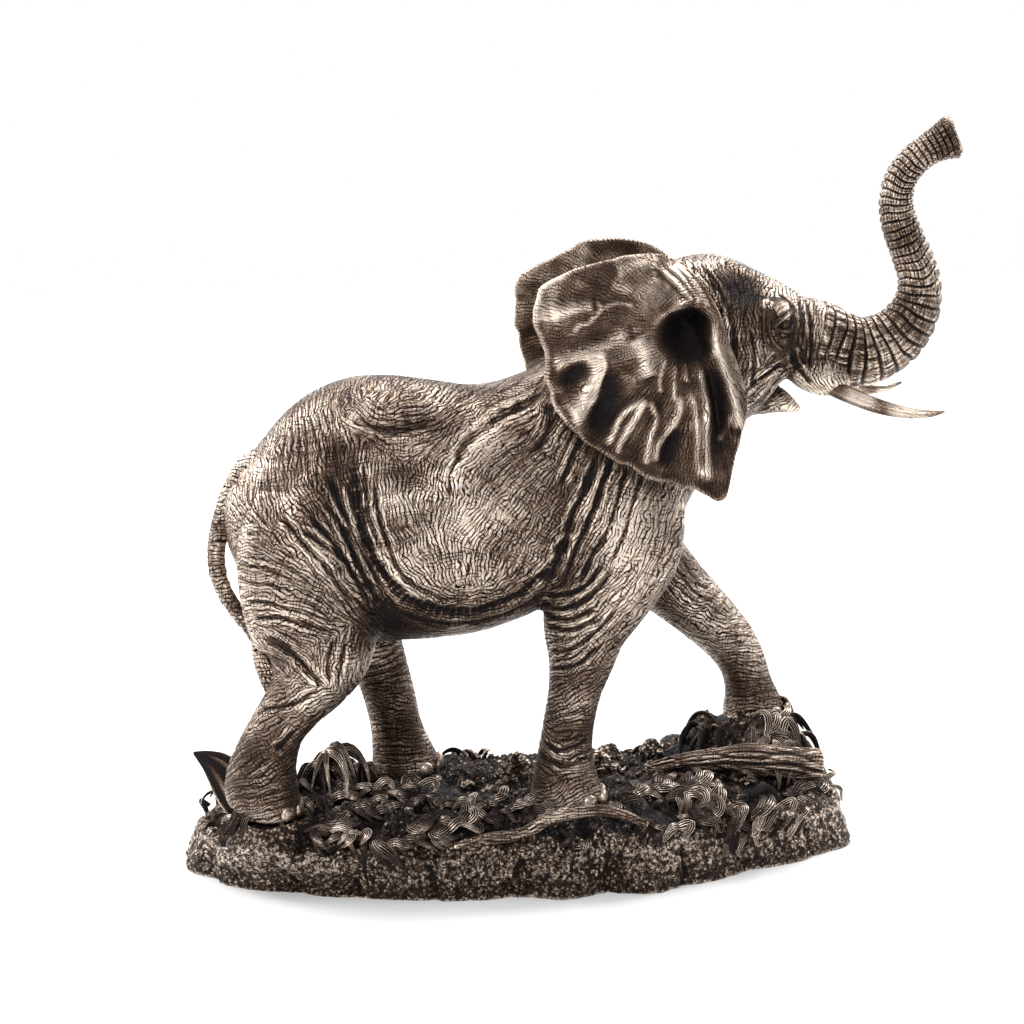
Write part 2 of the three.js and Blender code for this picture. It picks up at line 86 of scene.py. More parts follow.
# Shoulder or hip to sole: x, y, z, half-thickness fore and aft, and across
LEGS = {
    "right_foreleg": [
        [33, -20, 128, 24, 12], [33, -23, 112, 27, 15], [31, -25, 98, 26, 16.5], [26, -26, 84, 21.5, 16],
        [21, -26.5, 70, 17, 14.5], [19, -27, 57, 12.9, 12.4], [16.6, -27, 45, 10.3, 10.6],
        [14.4, -27, 33, 9.8, 10], [13, -27, 21, 10.5, 10.6], [13, -27, 11, 12.4, 12.3],
        [13.6, -27, 4, 14.2, 13.8], [13.8, -27, 0, 13.6, 13.2],
    ],
    "left_foreleg": [
        [28, 20, 126, 23, 12], [32, 22, 111, 24, 14], [41, 24, 97, 21, 15], [53, 26, 84, 16.8, 14.5],
        [66, 27, 71.5, 13.6, 13.2], [79, 27, 59, 11.6, 11.8], [88.5, 27, 48.5, 10.4, 10.6],
        [93.6, 27, 39.5, 9.4, 9.8], [96, 27, 31, 9.6, 10], [97.6, 27, 24.5, 11.4, 11.4],
        [98.6, 27, 20, 12.8, 12.6], [98.8, 27, 17.5, 12.6, 12.4],
    ],
    "right_hindleg": [
        [-82, -20, 122, 22, 12], [-84.5, -23, 106, 27, 15], [-84.5, -25.5, 91, 27.5, 17],
        [-83.5, -27, 76, 25.6, 17], [-82.5, -28, 63, 21, 15.5], [-86, -28, 52.5, 15.6, 13.4],
        [-92, -28, 43.5, 11.8, 11.6], [-98, -28, 34.5, 10.8, 10.8], [-102, -28, 25.5, 11.8, 11.2],
        [-104.2, -28, 16.5, 13.6, 12.4], [-104.2, -28, 9, 14, 13.4], [-102, -28, 3, 12.2, 12.8],
        [-100.6, -28, 0, 10.2, 11.6],
    ],
    "left_hindleg": [
        [-80, 20, 122, 22, 12], [-79.5, 23, 106, 26, 14.5], [-76, 25, 90, 25, 16],
        [-69.5, 26.5, 75, 21.5, 15.5], [-61.5, 27, 61, 16, 13.8], [-55.5, 27, 49, 12.2, 12],
        [-51.5, 27, 38.5, 10.6, 10.8], [-48.8, 27, 28.5, 10.2, 10.4], [-47, 27, 19.5, 10.2, 10.6],
        [-45, 27, 11, 11.6, 11.8], [-43, 27, 4, 13.4, 13.4], [-42.6, 27, 0, 12.8, 12.8],
    ],
}
TAIL = [
    [-101, 0, 133, 6, 6], [-107, 0, 129, 5, 5.4], [-111.6, 0, 122, 4.3, 4.6], [-115.4, 0, 113, 3.8, 4.1],
    [-118, 0, 103, 3.6, 3.9], [-118.6, -1, 93, 3.5, 3.7], [-116.6, -4, 84, 3.3, 3.5],
    [-112, -9, 76.6, 3, 3.2], [-106.6, -15, 70, 2.8, 3], [-104, -17.6, 65, 2.2, 2.4],
]
JAW = [
    [84, 0, 155, 9, 14], [92, 0, 153.4, 7.4, 11.5], [99, 0, 152, 5.6, 8.6],
    [105, 0, 149.6, 3.2, 5.4], [109.4, 0, 147.4, 0.9, 1.6],
]
TUSK = [
    [107, -14.6, 164.5, 2.9, 2.9], [115, -17.2, 160.6, 3.3, 3.3], [124, -20.2, 156.4, 3.2, 3.2],
    [134, -23.8, 152.6, 2.9, 2.9], [144, -27.6, 150.4, 2.3, 2.3], [152, -31, 150.2, 1.5, 1.5],
    [158.2, -33.8, 151.4, 0.5, 0.5],
]
# Swellings that are joined to the body: centre, radii, tilt in radians
SWELLINGS = [
    [93.5, 19, 189.5, 8.5, 5, 3.6, 0.5], [90, 18.5, 172, 9, 6.5, 12, 0.2],
    [112.6, 14.6, 163.8, 13.6, 8.6, 7.7, 0.32], [72, 18, 172, 12, 9, 24, 0.1],
]
# The ear's ribs about its hollow: direction in degrees from +X, reach, distance of the rim from the middle
# plane, and how proud the rib stands
EAR_HUB = (64.0, 183.0)
EAR = [
    [38, 9.6, 25, 0], [64, 12.5, 21, 0], [84, 18, 15.5, 0], [99, 23, 12.5, 0], [113, 30, 16, 0],
    [128, 37, 23.5, -0.6], [143, 46, 29, -1], [155, 56, 32.5, -0.4], [164, 64.5, 34, 0.6],
    [173, 64, 35, 1.4], [180, 61, 35.5, -1.2], [187, 60.5, 36, 0.6], [194, 61, 36.5, 1.6],
    [202, 61, 37.5, -2.2], [211, 60.5, 39, 2.2], [221, 58.5, 40, -2.8], [232, 56.5, 41, 2.2],
    [238.5, 55.5, 41.5, -1.4], [246, 55.5, 42, 1.4], [256.5, 55, 42, -2.6], [265, 57, 41.5, 1.4],
    [271, 60, 41, -1], [277, 60, 40, 2.4], [281.5, 52, 39, -1.6], [288, 42, 37, 1.2],
    [299, 34, 33.5, 1], [312, 23, 31, 0],
    [324, 16, 29.5, 0], [338, 11.6, 28.5, 0], [356, 9.4, 27.5, 0], [378, 9, 26.5, 0], [398, 9.6, 25, 0],
]
# The hollow in the ear: middle, and how far it reaches forward, back, up and down
HOLLOW = (60.5, 185.5, 8.2, 9.6, 7.4, 11.6)
# Crests and troughs of the ear: height, half-width and the line that each follows
EAR_FOLDS = [
    (0.9, 2.6, [(5, 191.9), (11.2, 193.4), (17.5, 194.8), (22.6, 195.3)]),
    (0.6, 1.0, [(22.5, 196.9), (25.1, 194), (22.6, 190.9), (20.1, 188.5), (16.3, 187.6), (14.7, 184.8)]),
    (0.6, 1.1, [(38.3, 194.4), (33.3, 195.4), (29.5, 195.2), (25.7, 193.7)]),
    (1.3, 3.4, [(37.1, 184.3), (30.8, 182), (25.2, 178.9), (19.5, 177.2), (11.3, 174.8), (5.9, 171.8)]),
    (1.0, 3.6, [(39.1, 183), (42.3, 175.4), (44.3, 166.5)]),
    (2.0, 4.0, [(24.5, 178.3), (24.3, 172), (22.1, 165.7), (18.9, 160.1), (15.2, 155.8), (12, 153.9)]),
    (0.8, 1.0, [(24.5, 178.3), (26.5, 172), (24, 165), (20.8, 157.5)]),
    (-1.6, 4.0, [(20.8, 174), (14.5, 169.7), (8.2, 164.2)]),
    (-2.4, 5.6, [(34.1, 169.2), (29.1, 162.4), (24, 154.3), (19.6, 147.4)]),
    (1.4, 1.4, [(42.4, 159.8), (37.3, 157.1), (32.3, 153.4), (29.1, 147.8), (26, 142.7)]),
    (1.4, 1.4, [(42.4, 159.8), (36.7, 152), (32.3, 145.8), (29.2, 140.1)]),
    (1.2, 1.7, [(42.4, 159.8), (45.7, 153.1), (43.2, 146.1), (41.3, 139.8), (40.7, 135.3)]),
    (1.4, 2.0, [(55.8, 161.1), (54.6, 153.5), (50.2, 147.2), (46.4, 142.2), (44.5, 135.9)]),
    (-1.7, 3.8, [(54, 149), (50.2, 141.5), (46.5, 133.9)]),
    (0.9, 2.0, [(58.9, 162.9), (61, 153.3), (61.7, 145.6), (61.2, 136), (63.2, 129.6)]),
    (1.8, 2.3, [(62.7, 173.7), (64.7, 164.7), (66.1, 155.1), (65.5, 145.5), (65, 135.9), (64.8, 127)]),
    (-2.4, 3.8, [(65.6, 180), (68.3, 167.8), (69.8, 155), (69.6, 142.3), (70.2, 129.4)]),
    (2.0, 2.8, [(67.3, 187.5), (69.6, 178.6), (72.6, 169), (75.2, 161.3), (77, 152.9), (76.7, 146.5)]),
    (0.8, 1.2, [(74.1, 153), (72.3, 146.7), (70.4, 142.2)]),
    (0.9, 1.1, [(48.4, 208), (54.3, 202.5), (59, 197.6), (63, 194)]),
    (0.9, 1.1, [(52, 208.2), (57.8, 203.4), (62, 198.3), (66, 193.2)]),
    (0.9, 1.1, [(55.8, 208.1), (61.6, 202.7), (65.3, 197.6), (68.2, 191.5)]),
    (0.6, 3.0, [(30.7, 207.1), (36.3, 208.5), (43.3, 209.3), (49.6, 208.6)]),
    (0.5, 3.0, [(28.8, 203.4), (34.5, 201.4), (42.1, 201.2), (49, 203)]),
    (0.6, 1.2, [(54.4, 171.3), (53.2, 165), (52.6, 158)]), (0.6, 1.2, [(58.2, 171.9), (58, 164.9)]),
    (0.6, 1.2, [(50.6, 173.9), (48.1, 167.6), (47.5, 161.3)]),
]
# The eyeball's middle. The middle and reach of the sheet round it. The least x, least z, columns and rows of
# the cells of 1 mm in which the hide under that sheet is measured
EYE = (98.4, 184.9)
EYE_SHEET = (96.4, 184.4, 10.6, 12.4)
EYE_CELLS = (80, 165, 31, 39)
# Lids, brow and the folds under the eye, in the same way as the ear's
EYE_FOLDS = [
    (1.9, 3.0, [(93.4, 189.2), (96.7, 190.6), (100.4, 190)]),
    (-1.3, 0.6, [(91.8, 191.6), (93.5, 193.6), (96.1, 194.5), (99.9, 192.9), (102.4, 189.8)]),
    (1.2, 0.7, [(93.9, 198.4), (97.3, 195.6), (100.6, 193.4), (102.9, 190.4)]),
    (1.5, 0.6, [(92.6, 183.6), (94.2, 184.9), (96.1, 186.3), (98.6, 187.6), (101.6, 188.7)]),
    (-0.8, 0.45, [(92.2, 186.4), (95.2, 188), (98.6, 189.3), (101.4, 189.9)]),
    (-0.6, 0.45, [(93.2, 189.2), (96, 190.8), (99.4, 191.4)]), (-0.4, 0.4, [(94.4, 191.6), (97, 192.6)]),
    (1.2, 0.55, [(94.4, 183.8), (95.8, 183), (97.8, 182), (99.9, 182.3), (101.3, 184.2)]),
    (-0.8, 0.5, [(94.2, 182.2), (96.4, 181), (98.6, 180.6), (100.6, 181)]),
    (1.2, 0.6, [(91.8, 186.8), (91.2, 184.4), (91.4, 181.7), (92.7, 178.8), (95.2, 176.2), (97.3, 175.2)]),
    (-0.9, 0.5, [(92.6, 184.4), (92.8, 182.2), (94, 179.6), (96.3, 177.1)]),
    (-0.8, 0.5, [(90.2, 186), (90, 182), (91.2, 178.4), (93.8, 175.2)]),
    (1.0, 1.6, [(97.2, 179.6), (97.6, 177.2)]),
    (0.9, 0.7, [(89.4, 190.4), (89.2, 184), (89.4, 178)]), (-0.8, 0.5, [(88.2, 191), (88, 184), (88.4, 177)]),
    (-1.2, 1.0, [(102.9, 189.6), (102.9, 184.6), (102.6, 179.6), (101.6, 174.6)]),
]
LEFT_EAR_TRIM = 5.5  # how much rounder the left ear's upper corner is
# Fine lines of the hide, seen from the side: x, z, and the angle that the lines run at
STROKES = [
    (-70, 158, 95), (-55, 162, 65), (-33, 161, 48), (-10, 161, 40), (1, 166, 35), (-25, 148, 45),
    (-2, 149, 42), (9, 145, 60), (-66, 143, 88), (-67, 128, 95), (-63, 120, 97), (-57, 97, 120),
    (-48, 87, 145), (-33, 82, 172), (-18, 82, 5), (-6, 89, 30), (5, 99, 48), (13, 110, 58),
    (20, 126, 60), (24, 137, 65), (-40, 97, 105), (-25, 96, 90), (-12, 100, 68), (-25, 115, 50),
    (-6, 122, 50), (1, 118, 55), (16, 133, 62), (28, 125, 75), (36, 125, 80), (13, 87, 35),
    (28, 102, 65), (29, 105, 70), (40, 110, 78), (48, 114, 75), (10, 77, 28), (8, 67, 16),
    (24, 81, 55), (36, 86, 58), (15, 57, 35), (24, 63, 48), (12, 44, 35), (12, 32, 10), (12, 22, 0),
    (10, 12, 50), (64, 82, -45), (79, 66, -35), (89, 54, -8), (92, 41, -5), (94, 30, 5),
    (55, 123, 70), (-102, 138, 97), (-109, 135, 68), (-91, 138, 95), (-78, 137, 100),
    (-102, 125, 100), (-106, 112, -5), (-93, 116, -20), (-82, 115, -42), (-103, 95, -3),
    (-84, 94, -25), (-73, 102, -45), (-66, 111, -65), (-75, 84, -42), (-89, 80, -12), (-100, 79, 6),
    (-80, 70, 100), (-70, 65, 75), (-94, 66, -45), (-84, 50, 35), (-99, 44, 45), (-105, 34, 20),
    (-101, 25, 30), (-104, 13, 10), (-51, 45, 15), (-48, 30, -10), (-48, 17, 0), (58, 208, -50),
    (69, 202, -60), (79, 209, 100), (88, 202, 75), (74, 193, 100), (82, 178, 92), (84, 164, 88),
    (92, 171, 60), (90, 183, 95), (101, 196, 100), (106, 190, 95), (108, 178, 85), (106, 167, 60),
    (94, 162, 45), (84, 154, 60), (96, 152, 15), (24, 145, 62),
]
# Deep folds: where, depth, half-width, side (0 for both), and the line that each follows
FOLDS = [
    ("belly", 1.7, 3.4, 0, [(-69, 142), (-68, 131), (-67, 120), (-64, 109), (-58, 96), (-48, 85), (-33, 79),
                            (-18, 80), (-6, 85), (4, 94), (10, 103), (15, 114)]),
    ("flank", 0.9, 2, 0, [(-61, 131), (-60, 119), (-56, 105), (-50, 94), (-39, 86)]),
    ("groin", 1.1, 2.5, 0, [(-78, 133), (-74, 122), (-68, 109), (-63, 99), (-59, 91)]),
    ("groin", 0.8, 1.9, 0, [(-65, 137), (-64, 125), (-62, 114), (-58, 103)]),
    ("loin", 0.8, 3, 0, [(-66, 153), (-57, 149), (-46, 149), (-39, 151)]),
    ("withers", 1, 2.6, 0, [(-30, 136), (-27, 142), (-19, 147), (-10, 152), (-1, 156), (5, 160)]),
    ("ribs", 0.6, 2, 0, [(-33, 124), (-31, 135), (-25, 141)]),
    ("withers", 0.8, 2.8, 0, [(-16, 150), (-9, 153), (-2, 156)]),
    ("neck", 0.9, 3, 0, [(7, 157), (5, 145), (-2, 139)]),
    ("elbow", 1.5, 3, 0, [(24, 139), (20, 127), (14, 115), (10, 103), (7, 94), (2, 88)]),
    ("shoulder", 0.9, 2, 0, [(30, 137), (26, 126), (20, 113), (15, 103), (12, 92)]),
    ("shoulder", 0.8, 2, 0, [(36, 134), (32, 122), (27, 110), (20, 99), (16, 89)]),
    ("elbow", 0.9, 1.8, -1, [(4, 84), (10, 85), (18, 89), (25, 98)]),
    ("elbow", 0.9, 1.8, -1, [(4, 80), (11, 80), (20, 85), (28, 94)]),
    ("elbow", 0.8, 1.8, -1, [(4, 76), (13, 76), (22, 81)]),
    ("elbow", 0.7, 1.8, -1, [(4, 72), (13, 72), (23, 77)]),
    ("foreleg", 0.6, 1.7, -1, [(4, 62), (13, 64), (24, 73), (31, 81)]),
    ("foreleg", 0.6, 1.7, -1, [(5, 55), (15, 58), (26, 67)]),
    ("ankle", 0.6, 1.9, -1, [(2, 27), (10, 24), (21, 28)]),
    ("ankle", 0.6, 1.9, -1, [(2, 21), (11, 18), (21, 21)]),
    ("groin", 1.2, 2.4, 0, [(-80, 124), (-72, 111), (-67, 98), (-61, 86), (-60, 84)]),
    ("thigh", 0.9, 2, 0, [(-86, 119), (-78, 109), (-71, 98), (-63, 84)]),
    ("thigh", 0.6, 1.8, 0, [(-90, 114), (-82, 108), (-73, 102), (-65, 90)]),
    ("rump", 0.5, 1.6, 0, [(-113, 99), (-103, 99), (-93, 95)]),
    ("rump", 0.5, 1.6, 0, [(-112, 93), (-101, 93), (-90, 90)]),
    ("rump", 0.5, 1.6, 0, [(-109, 86), (-100, 86), (-89, 83)]),
    ("rump", 0.7, 1.8, 0, [(-107, 80), (-97, 81), (-86, 78), (-78, 75)]),
    ("knee", 0.7, 1.8, -1, [(-78, 72), (-80, 63), (-79, 55)]),
    ("knee", 0.6, 1.8, -1, [(-73, 70), (-75, 62), (-76, 54)]),
    ("hock", 0.9, 2.4, -1, [(-103, 73), (-94, 68), (-86, 59), (-81, 53)]),
    ("hock", 0.6, 1.8, -1, [(-94, 46), (-86, 51), (-79, 53)]),
    ("hock", 0.6, 1.8, -1, [(-110, 39), (-102, 44), (-92, 47)]),
    ("ankle", 0.9, 2.4, -1, [(-100, 29), (-96, 32), (-92, 36)]),
    ("cheek", 0.7, 2, 0, [(98, 164), (94, 160), (90, 155), (85, 152)]),
    ("cheek", 0.5, 1.6, 0, [(88, 164), (93, 168), (98, 169)]),
    ("temple", 0.8, 2.6, 0, [(76, 194), (77, 182), (78, 172)]),
    ("ear root", 1.0, 1.6, 0, [(58.5, 208.5), (65, 202.3), (69.3, 196), (70.6, 188)]),
    ("ear root", 1.0, 1.6, 0, [(62.5, 207.5), (68, 202), (71.8, 195.5), (73, 187)]),
    ("ear root", 0.8, 1.6, 0, [(67, 207), (71, 201.5), (74, 195), (75.4, 187)]),
    ("trunk root", 0.9, 1.8, 0, [(109, 194), (109.6, 184), (109, 174), (107.5, 166)]),
    ("trunk root", 0.8, 1.6, 0, [(105.6, 196), (106.2, 188), (106, 178)]),
    ("jowl", 0.8, 1.6, 0, [(96.6, 170.6), (93.3, 167.4), (89.8, 165.4), (86.4, 163.3), (83.8, 160.3)]),
    ("neck", 0.8, 2.0, 0, [(30, 160), (22, 150), (15, 138), (9, 126)]),
    ("neck", 0.9, 2.2, 0, [(38, 152), (32, 142), (27, 130), (22, 118)]),
    ("neck", 0.8, 2.2, 0, [(24, 168), (15, 158), (7, 148)]),
    ("shoulder", 0.8, 1.8, 0, [(44, 134), (38, 122), (33, 108), (27, 97)]),
    ("groin", 0.9, 2.0, 0, [(-71, 131), (-69, 120), (-65, 109), (-60, 99), (-53, 90)]),
    ("belly", 0.8, 2.0, 0, [(-52, 80), (-38, 74), (-20, 74), (-4, 79), (8, 88)]),
    ("thigh", 0.7, 1.8, 0, [(-96, 118), (-88, 108), (-80, 99), (-70, 84)]),
    ("thigh", 0.6, 1.6, 0, [(-76, 120), (-71, 108), (-66, 97)]),
    ("cheek", 0.5, 1.6, 0, [(84, 183), (85, 173), (85, 162)]),
    ("lip", 0.9, 2.4, 0, [(101, 175), (104, 167), (109, 161)]),
]
# Broad swellings and hollows of the flanks and head: x, z, the two radii, tilt in degrees, height
FORMS = [
    (-25, 119, 18, 14, 20, 1.6), (-54, 122, 7, 8, 0, 1), (-49, 131, 9, 6, -20, -2), (-77, 142, 6, 5, 0, -1.4),
    (-46, 150, 16, 4, -5, -1.4), (-70, 148, 6, 5, 0, 1.5), (-21, 140, 10, 7, 35, 1.2),
    (-86, 102, 20, 24, 0, 1.4), (30, 104, 11, 24, -15, 1.4), (82, 198, 8, 6.5, 0, -2.4),
    (85, 175, 7, 9, 0, 0.8), (75, 209, 9, 4, 0, 0.8),
]
# Where the hide is painted darker or lighter, as patina and as painted light: x, z, the two radii, and how
# much
# The dark places are partly painted shade under the ears, neck, belly and joints, and the bright ones painted
# highlights on the flank and head
PAINTED_LIGHT_AND_PATINA = [
    (86, 170, 12, 17, -0.29), (84, 197, 9, 8, -0.36), (104, 174, 8, 13, -0.27), (74, 186, 7, 22, -0.34),
    (92, 184, 9, 9, -0.1), (20, 142, 18, 14, -0.28), (8, 120, 8, 18, -0.2), (-64, 104, 9, 28, -0.26),
    (-24, 78, 38, 8, -0.3), (10, 88, 12, 12, -0.24), (-76, 130, 7, 8, -0.14), (-56, 146, 10, 4, -0.2),
    (-83, 146, 12, 12, -0.08), (-24, 118, 16, 13, 0.2), (-52, 126, 8, 8, 0.14), (-50, 160, 60, 6, -0.1),
    (84, 208, 24, 5, 0.1), (96, 199, 12, 5, 0.16), (-92, 92, 14, 12, -0.04),
    (-84, 118, 18, 28, -0.1), (36, 108, 8, 20, 0.04),
    (-96, 66, 9, 7, -0.26), (-60, 74, 12, 10, -0.26), (-100, 14, 14, 14, -0.05), (60, 80, 14, 20, -0.2),
    (-50, 40, 12, 36, -0.22), (18, 50, 14, 40, -0.12), (-88, 116, 14, 8, -0.08),
]
# The ground's outline: direction in degrees from +X, reach at the bottom and at the ledge
GROUND = [
    [-24, 90, 88], [0, 131, 128], [12, 122, 120], [25, 102, 100], [40, 80, 79], [58, 64, 63], [75, 57, 55],
    [90, 55, 54], [107, 58, 56], [125, 67, 65], [143, 85, 84], [158, 107, 105], [170, 126, 123],
    [180, 131, 128], [188, 124, 125], [195, 115, 122], [203, 99, 112], [212, 87, 94], [222, 76, 79],
    [232, 70, 70], [246, 60, 60], [262, 57, 56], [280, 59.5, 58.5], [296, 62, 60.5], [307, 71, 69],
    [320, 76, 75], [332, 85, 83], [342, 99, 97], [351, 118, 115], [360, 131, 128], [372, 122, 120],
]
HALF_LENGTH, HALF_WIDTH = 130, 54  # of the ground
LOBE = 33.0  # length of one lobe of the ground's side
# The log and the branch: x, y, z, half-thickness in the middle plane, and across
LOG = [
    [120, 0, 3, 6.5, 6.5], [108, 0, 4.2, 6.8, 6.8], [92, 0, 6.4, 6.5, 6.5],
    [78, 1, 7, 4.5, 4.5], [64, 2, 6.2, 3.1, 3.1], [50, 3, 3.4, 1.9, 1.9],
]
BRANCH = [
    [-33, -50, -9, 2, 2.2], [-22, -51, -6, 2.4, 2.4], [-7, -51, -4.2, 2.2, 2.2], [4, -50, 1, 2.5, 2.4],
    [20, -50, 3.4, 2.1, 2.2], [31, -50, 1.6, 1.9, 2], [41, -51, -3, 1.1, 1.1],
]
# Clumps of grass: x, y, heading in degrees, blades, length, rise, curl. Eight in ten of the blades are made
CLUMPS = [
    (-110, -12, 200, 8, 14, 5, 0.4), (-88, 3, -18, 22, 34, 24, -0.4), (-80, -10, -40, 12, 22, 7, 0.8),
    (-68, -6, -20, 12, 22, 7, -0.8), (-58, -16, -60, 12, 20, 7, 1.0), (-50, -6, 10, 10, 18, 6, -1.0),
    (-61, -27, -80, 11, 18, 6, 0.9), (-46, -22, -30, 10, 18, 6, -0.9), (-84, -38, -60, 12, 20, 6, 1.0),
    (-74, -41, -100, 11, 18, 6, -0.8), (-59, -47, -88, 11, 20, 3, 0.9), (-50, -44, -60, 9, 16, 5, 1.0),
    (-40, -45, -80, 12, 20, 7, 1.2), (-34, -42, -30, 9, 16, 7, 1.6), (-24, -40, -100, 9, 15, 5, -1.2),
    (-14, -37, -60, 11, 17, 7, 1.4), (-4, -42, -20, 8, 14, 5, -1.2), (12, -51, -90, 5, 12, 2, 0.2),
    (36, -26, -20, 10, 18, 5, 1.0), (44, -20, 0, 12, 24, 5, 0.6), (52, -25, -20, 12, 22, 6, -0.9),
    (60, -16, 10, 10, 20, 5, 0.8), (62, -36, -40, 11, 18, 6, 1.1), (72, -28, -60, 12, 20, 7, -1.1),
    (82, -34, -50, 12, 20, 6, 1.3), (91, -23, -30, 11, 18, 6, -1.2), (76, -44, -80, 9, 17, 4, 0.8),
    (46, -48, -70, 8, 14, 4, -0.9), (102, -14, -20, 9, 16, 5, 1.0), (97, 9, -14, 9, 22, 8, 0.5),
    (108, 15, 0, 8, 18, 9, -0.4), (104, 24, 20, 7, 16, 8, 0.4), (114, -3, -10, 6, 14, 5, 0.8),
    (76, 18, 200, 9, 16, 7, 0.5), (-14, 38, 100, 9, 18, 7, 0.6), (44, 40, 70, 9, 18, 7, -0.6),
    (-96, 24, 140, 9, 20, 8, 0.6), (-66, 42, 110, 8, 16, 6, 0.8), (112, 30, 40, 6, 15, 6, 0.6),
    (12, 46, 90, 8, 16, 5, -0.6), (-118, 12, 160, 6, 16, 7, 0.7), (-40, 44, 95, 8, 16, 5, 0.9),
    (74, 44, 60, 7, 14, 5, -0.8), (-92, -18, -150, 7, 14, 5, 0.9), (-104, 6, 150, 7, 16, 7, -0.6),
    (90, 4, -10, 14, 24, 8, 0.9), (98, 2, 0, 14, 22, 9, -1.0), (84, -2, -30, 10, 18, 6, 1.0),
    (-118, -30, 60, 10, 18, 8, -0.5), (-112, -34, 30, 10, 18, 7, 0.6), (-70, -24, -20, 10, 20, 6, 1.1),
    (-34, -26, 0, 9, 18, 6, -0.9), (-20, -28, -30, 8, 16, 5, 1.2), (66, -30, 10, 9, 18, 6, 1.3),
    (104, -22, -30, 10, 18, 6, -1.1), (88, -46, -90, 9, 16, 4, 0.9), (30, -34, -50, 8, 15, 4, -1.0),
]
# A lock's section: share of its half-width, share of its thickness, and how rubbed it is there
LOCK = [
    (-1, 0, 0.1), (-0.8, 0.6, 0.5), (-0.5, 0.15, -0.3), (-0.27, 0.95, 0.55), (0, 0.3, -0.35), (0.27, 1, 0.6),
    (0.52, 0.2, -0.3), (0.8, 0.65, 0.5), (1, 0, 0.1), (0, -0.8, -0.4),
]
# Broad leaves, from root to tip: x, y, z, half-width, half-thickness
LEAVES = [
    [[-98, -22, -10, 6, 2.4], [-105, -21.5, -1, 8.5, 2.2], [-113, -20, 9.5, 9.2, 1.8],
     [-121.5, -17.5, 18, 5.2, 1.4], [-129.5, -15, 22.5, 0.4, 0.4]],
    [[-108, 4, -2, 3.5, 1.6], [-114, 5, 6, 5.6, 1.3], [-120, 6, 12, 4.6, 1.1], [-126, 7, 16, 0.3, 0.3]],
    [[-58, 6, -2, 3, 1.5], [-61, 6, 4, 3.6, 1.3], [-63, 6, 10, 0.3, 0.3]],
]
# Stones: x, y, half-width, height
STONES = [
    (-2, 6, 7, 17), (40, 30, 6.5, 8), (52, 14, 5, 6), (-68, -16, 5, 5), (68, 40, 7, 6), (30, 22, 6, 9),
    (-14, 20, 5, 5), (58, 34, 5, 7), (-30, 46, 5, 5), (22, 38, 5, 6), (100, -30, 4, 3), (-88, 8, 5, 5),
]
PEBBLES = 260  # less those that fall in a foot print or near the edge
# Finishes: metres from groove to groove, depth of the grooves, how rubbed the metal is, and how strong the
# grooves are along the grain and across it
FINISHES = {
    "hide": (0.00145, 1.0, 0.03, 1.15, 0.42),
    "tail": (0.0015, 1.0, -0.3, 1.15, 0.42),
    "trunk": (0.0013, 0.9, -0.06, 0.6, 0.4),
    "ear": (0.00125, 0.75, 0.0, 0.55, 0.22),
    "eye": (0.0012, 0.4, 0.0, 0.26, 0.12),
    "nail": (0.002, 0.3, -0.22, 0.2, 0.1),
    "tusk": (0.0012, 0.3, -0.1, 0.26, 0.08),
    "wood": (0.0014, 1.0, -0.22, 0.8, 0.3),
    "growth": (0.0013, 0.4, -0.92, 0.2, 0.1),
}


class StatueSettings(bpy.types.PropertyGroup):
    """Sizes of the statue that can be changed."""
    fold_depth: bpy.props.FloatProperty(
        name="Fold depth", description="Depth of the hide's deep folds, as a share of the modelled depth",
        default=1.0, subtype="FACTOR")
    wrinkle_depth: bpy.props.FloatProperty(
        name="Wrinkle depth", description="Depth of the finer wrinkles of the hide",
        default=0.00042, unit="LENGTH")
    ring_depth: bpy.props.FloatProperty(
        name="Trunk ring depth", description="Depth of the grooves round the trunk",
        default=0.0012, unit="LENGTH")
    pebble_size: bpy.props.FloatProperty(
        name="Pebble size", description="Width of the gravel between the feet",
        default=0.0026, unit="LENGTH")


class FinishSettings(bpy.types.PropertyGroup):
    """Colours of the patina, which also serve for the painted shade and highlights, that can be changed."""
    # The recess colour is also where the painted shade goes
    recess_and_painted_shade: bpy.props.FloatVectorProperty(
        name="Recess colour", description="The nearly black patina in the hollows",
        default=(0.009, 0.006, 0.0065), subtype="COLOR", size=3)
    bronze: bpy.props.FloatVectorProperty(
        name="Bronze colour", description="The brown of the hide",
        default=(0.12, 0.074, 0.048), subtype="COLOR", size=3)
    # The rubbed colour is also where the painted highlights and glints go
    rubbed_and_painted_light: bpy.props.FloatVectorProperty(
        name="Rubbed colour", description="The bright bronze on the high places",
        default=(0.88, 0.74, 0.615), subtype="COLOR", size=3)
    roughness: bpy.props.FloatProperty(
        name="Roughness", description="Roughness of the rubbed places", default=0.34, subtype="FACTOR")


class StageSettings(bpy.types.PropertyGroup):
    """The studio round the statue."""
    floor_colour: bpy.props.FloatVectorProperty(
        name="Floor colour", description="Colour of the pale floor", default=(0.9, 0.9, 0.9), subtype="COLOR",
        size=3)
    camera_distance: bpy.props.FloatProperty(
        name="Camera distance", description="From the camera to the statue's middle", default=1.35,
        unit="LENGTH")
    camera_turn: bpy.props.FloatProperty(
        name="Camera turn", description="How far the camera is turned towards the tail",
        default=math.radians(8.0), subtype="ANGLE")
    camera_height: bpy.props.FloatProperty(
        name="Camera elevation", description="How far the camera looks down", default=math.radians(11.8),
        subtype="ANGLE")


# Curves and noise


def smooth(low, high, value):
    """Zero below the low number, one above the high one, and a cubic between them."""
    share = np.clip((value - low) / (high - low), 0, 1)
    return share * share * (3 - 2 * share)


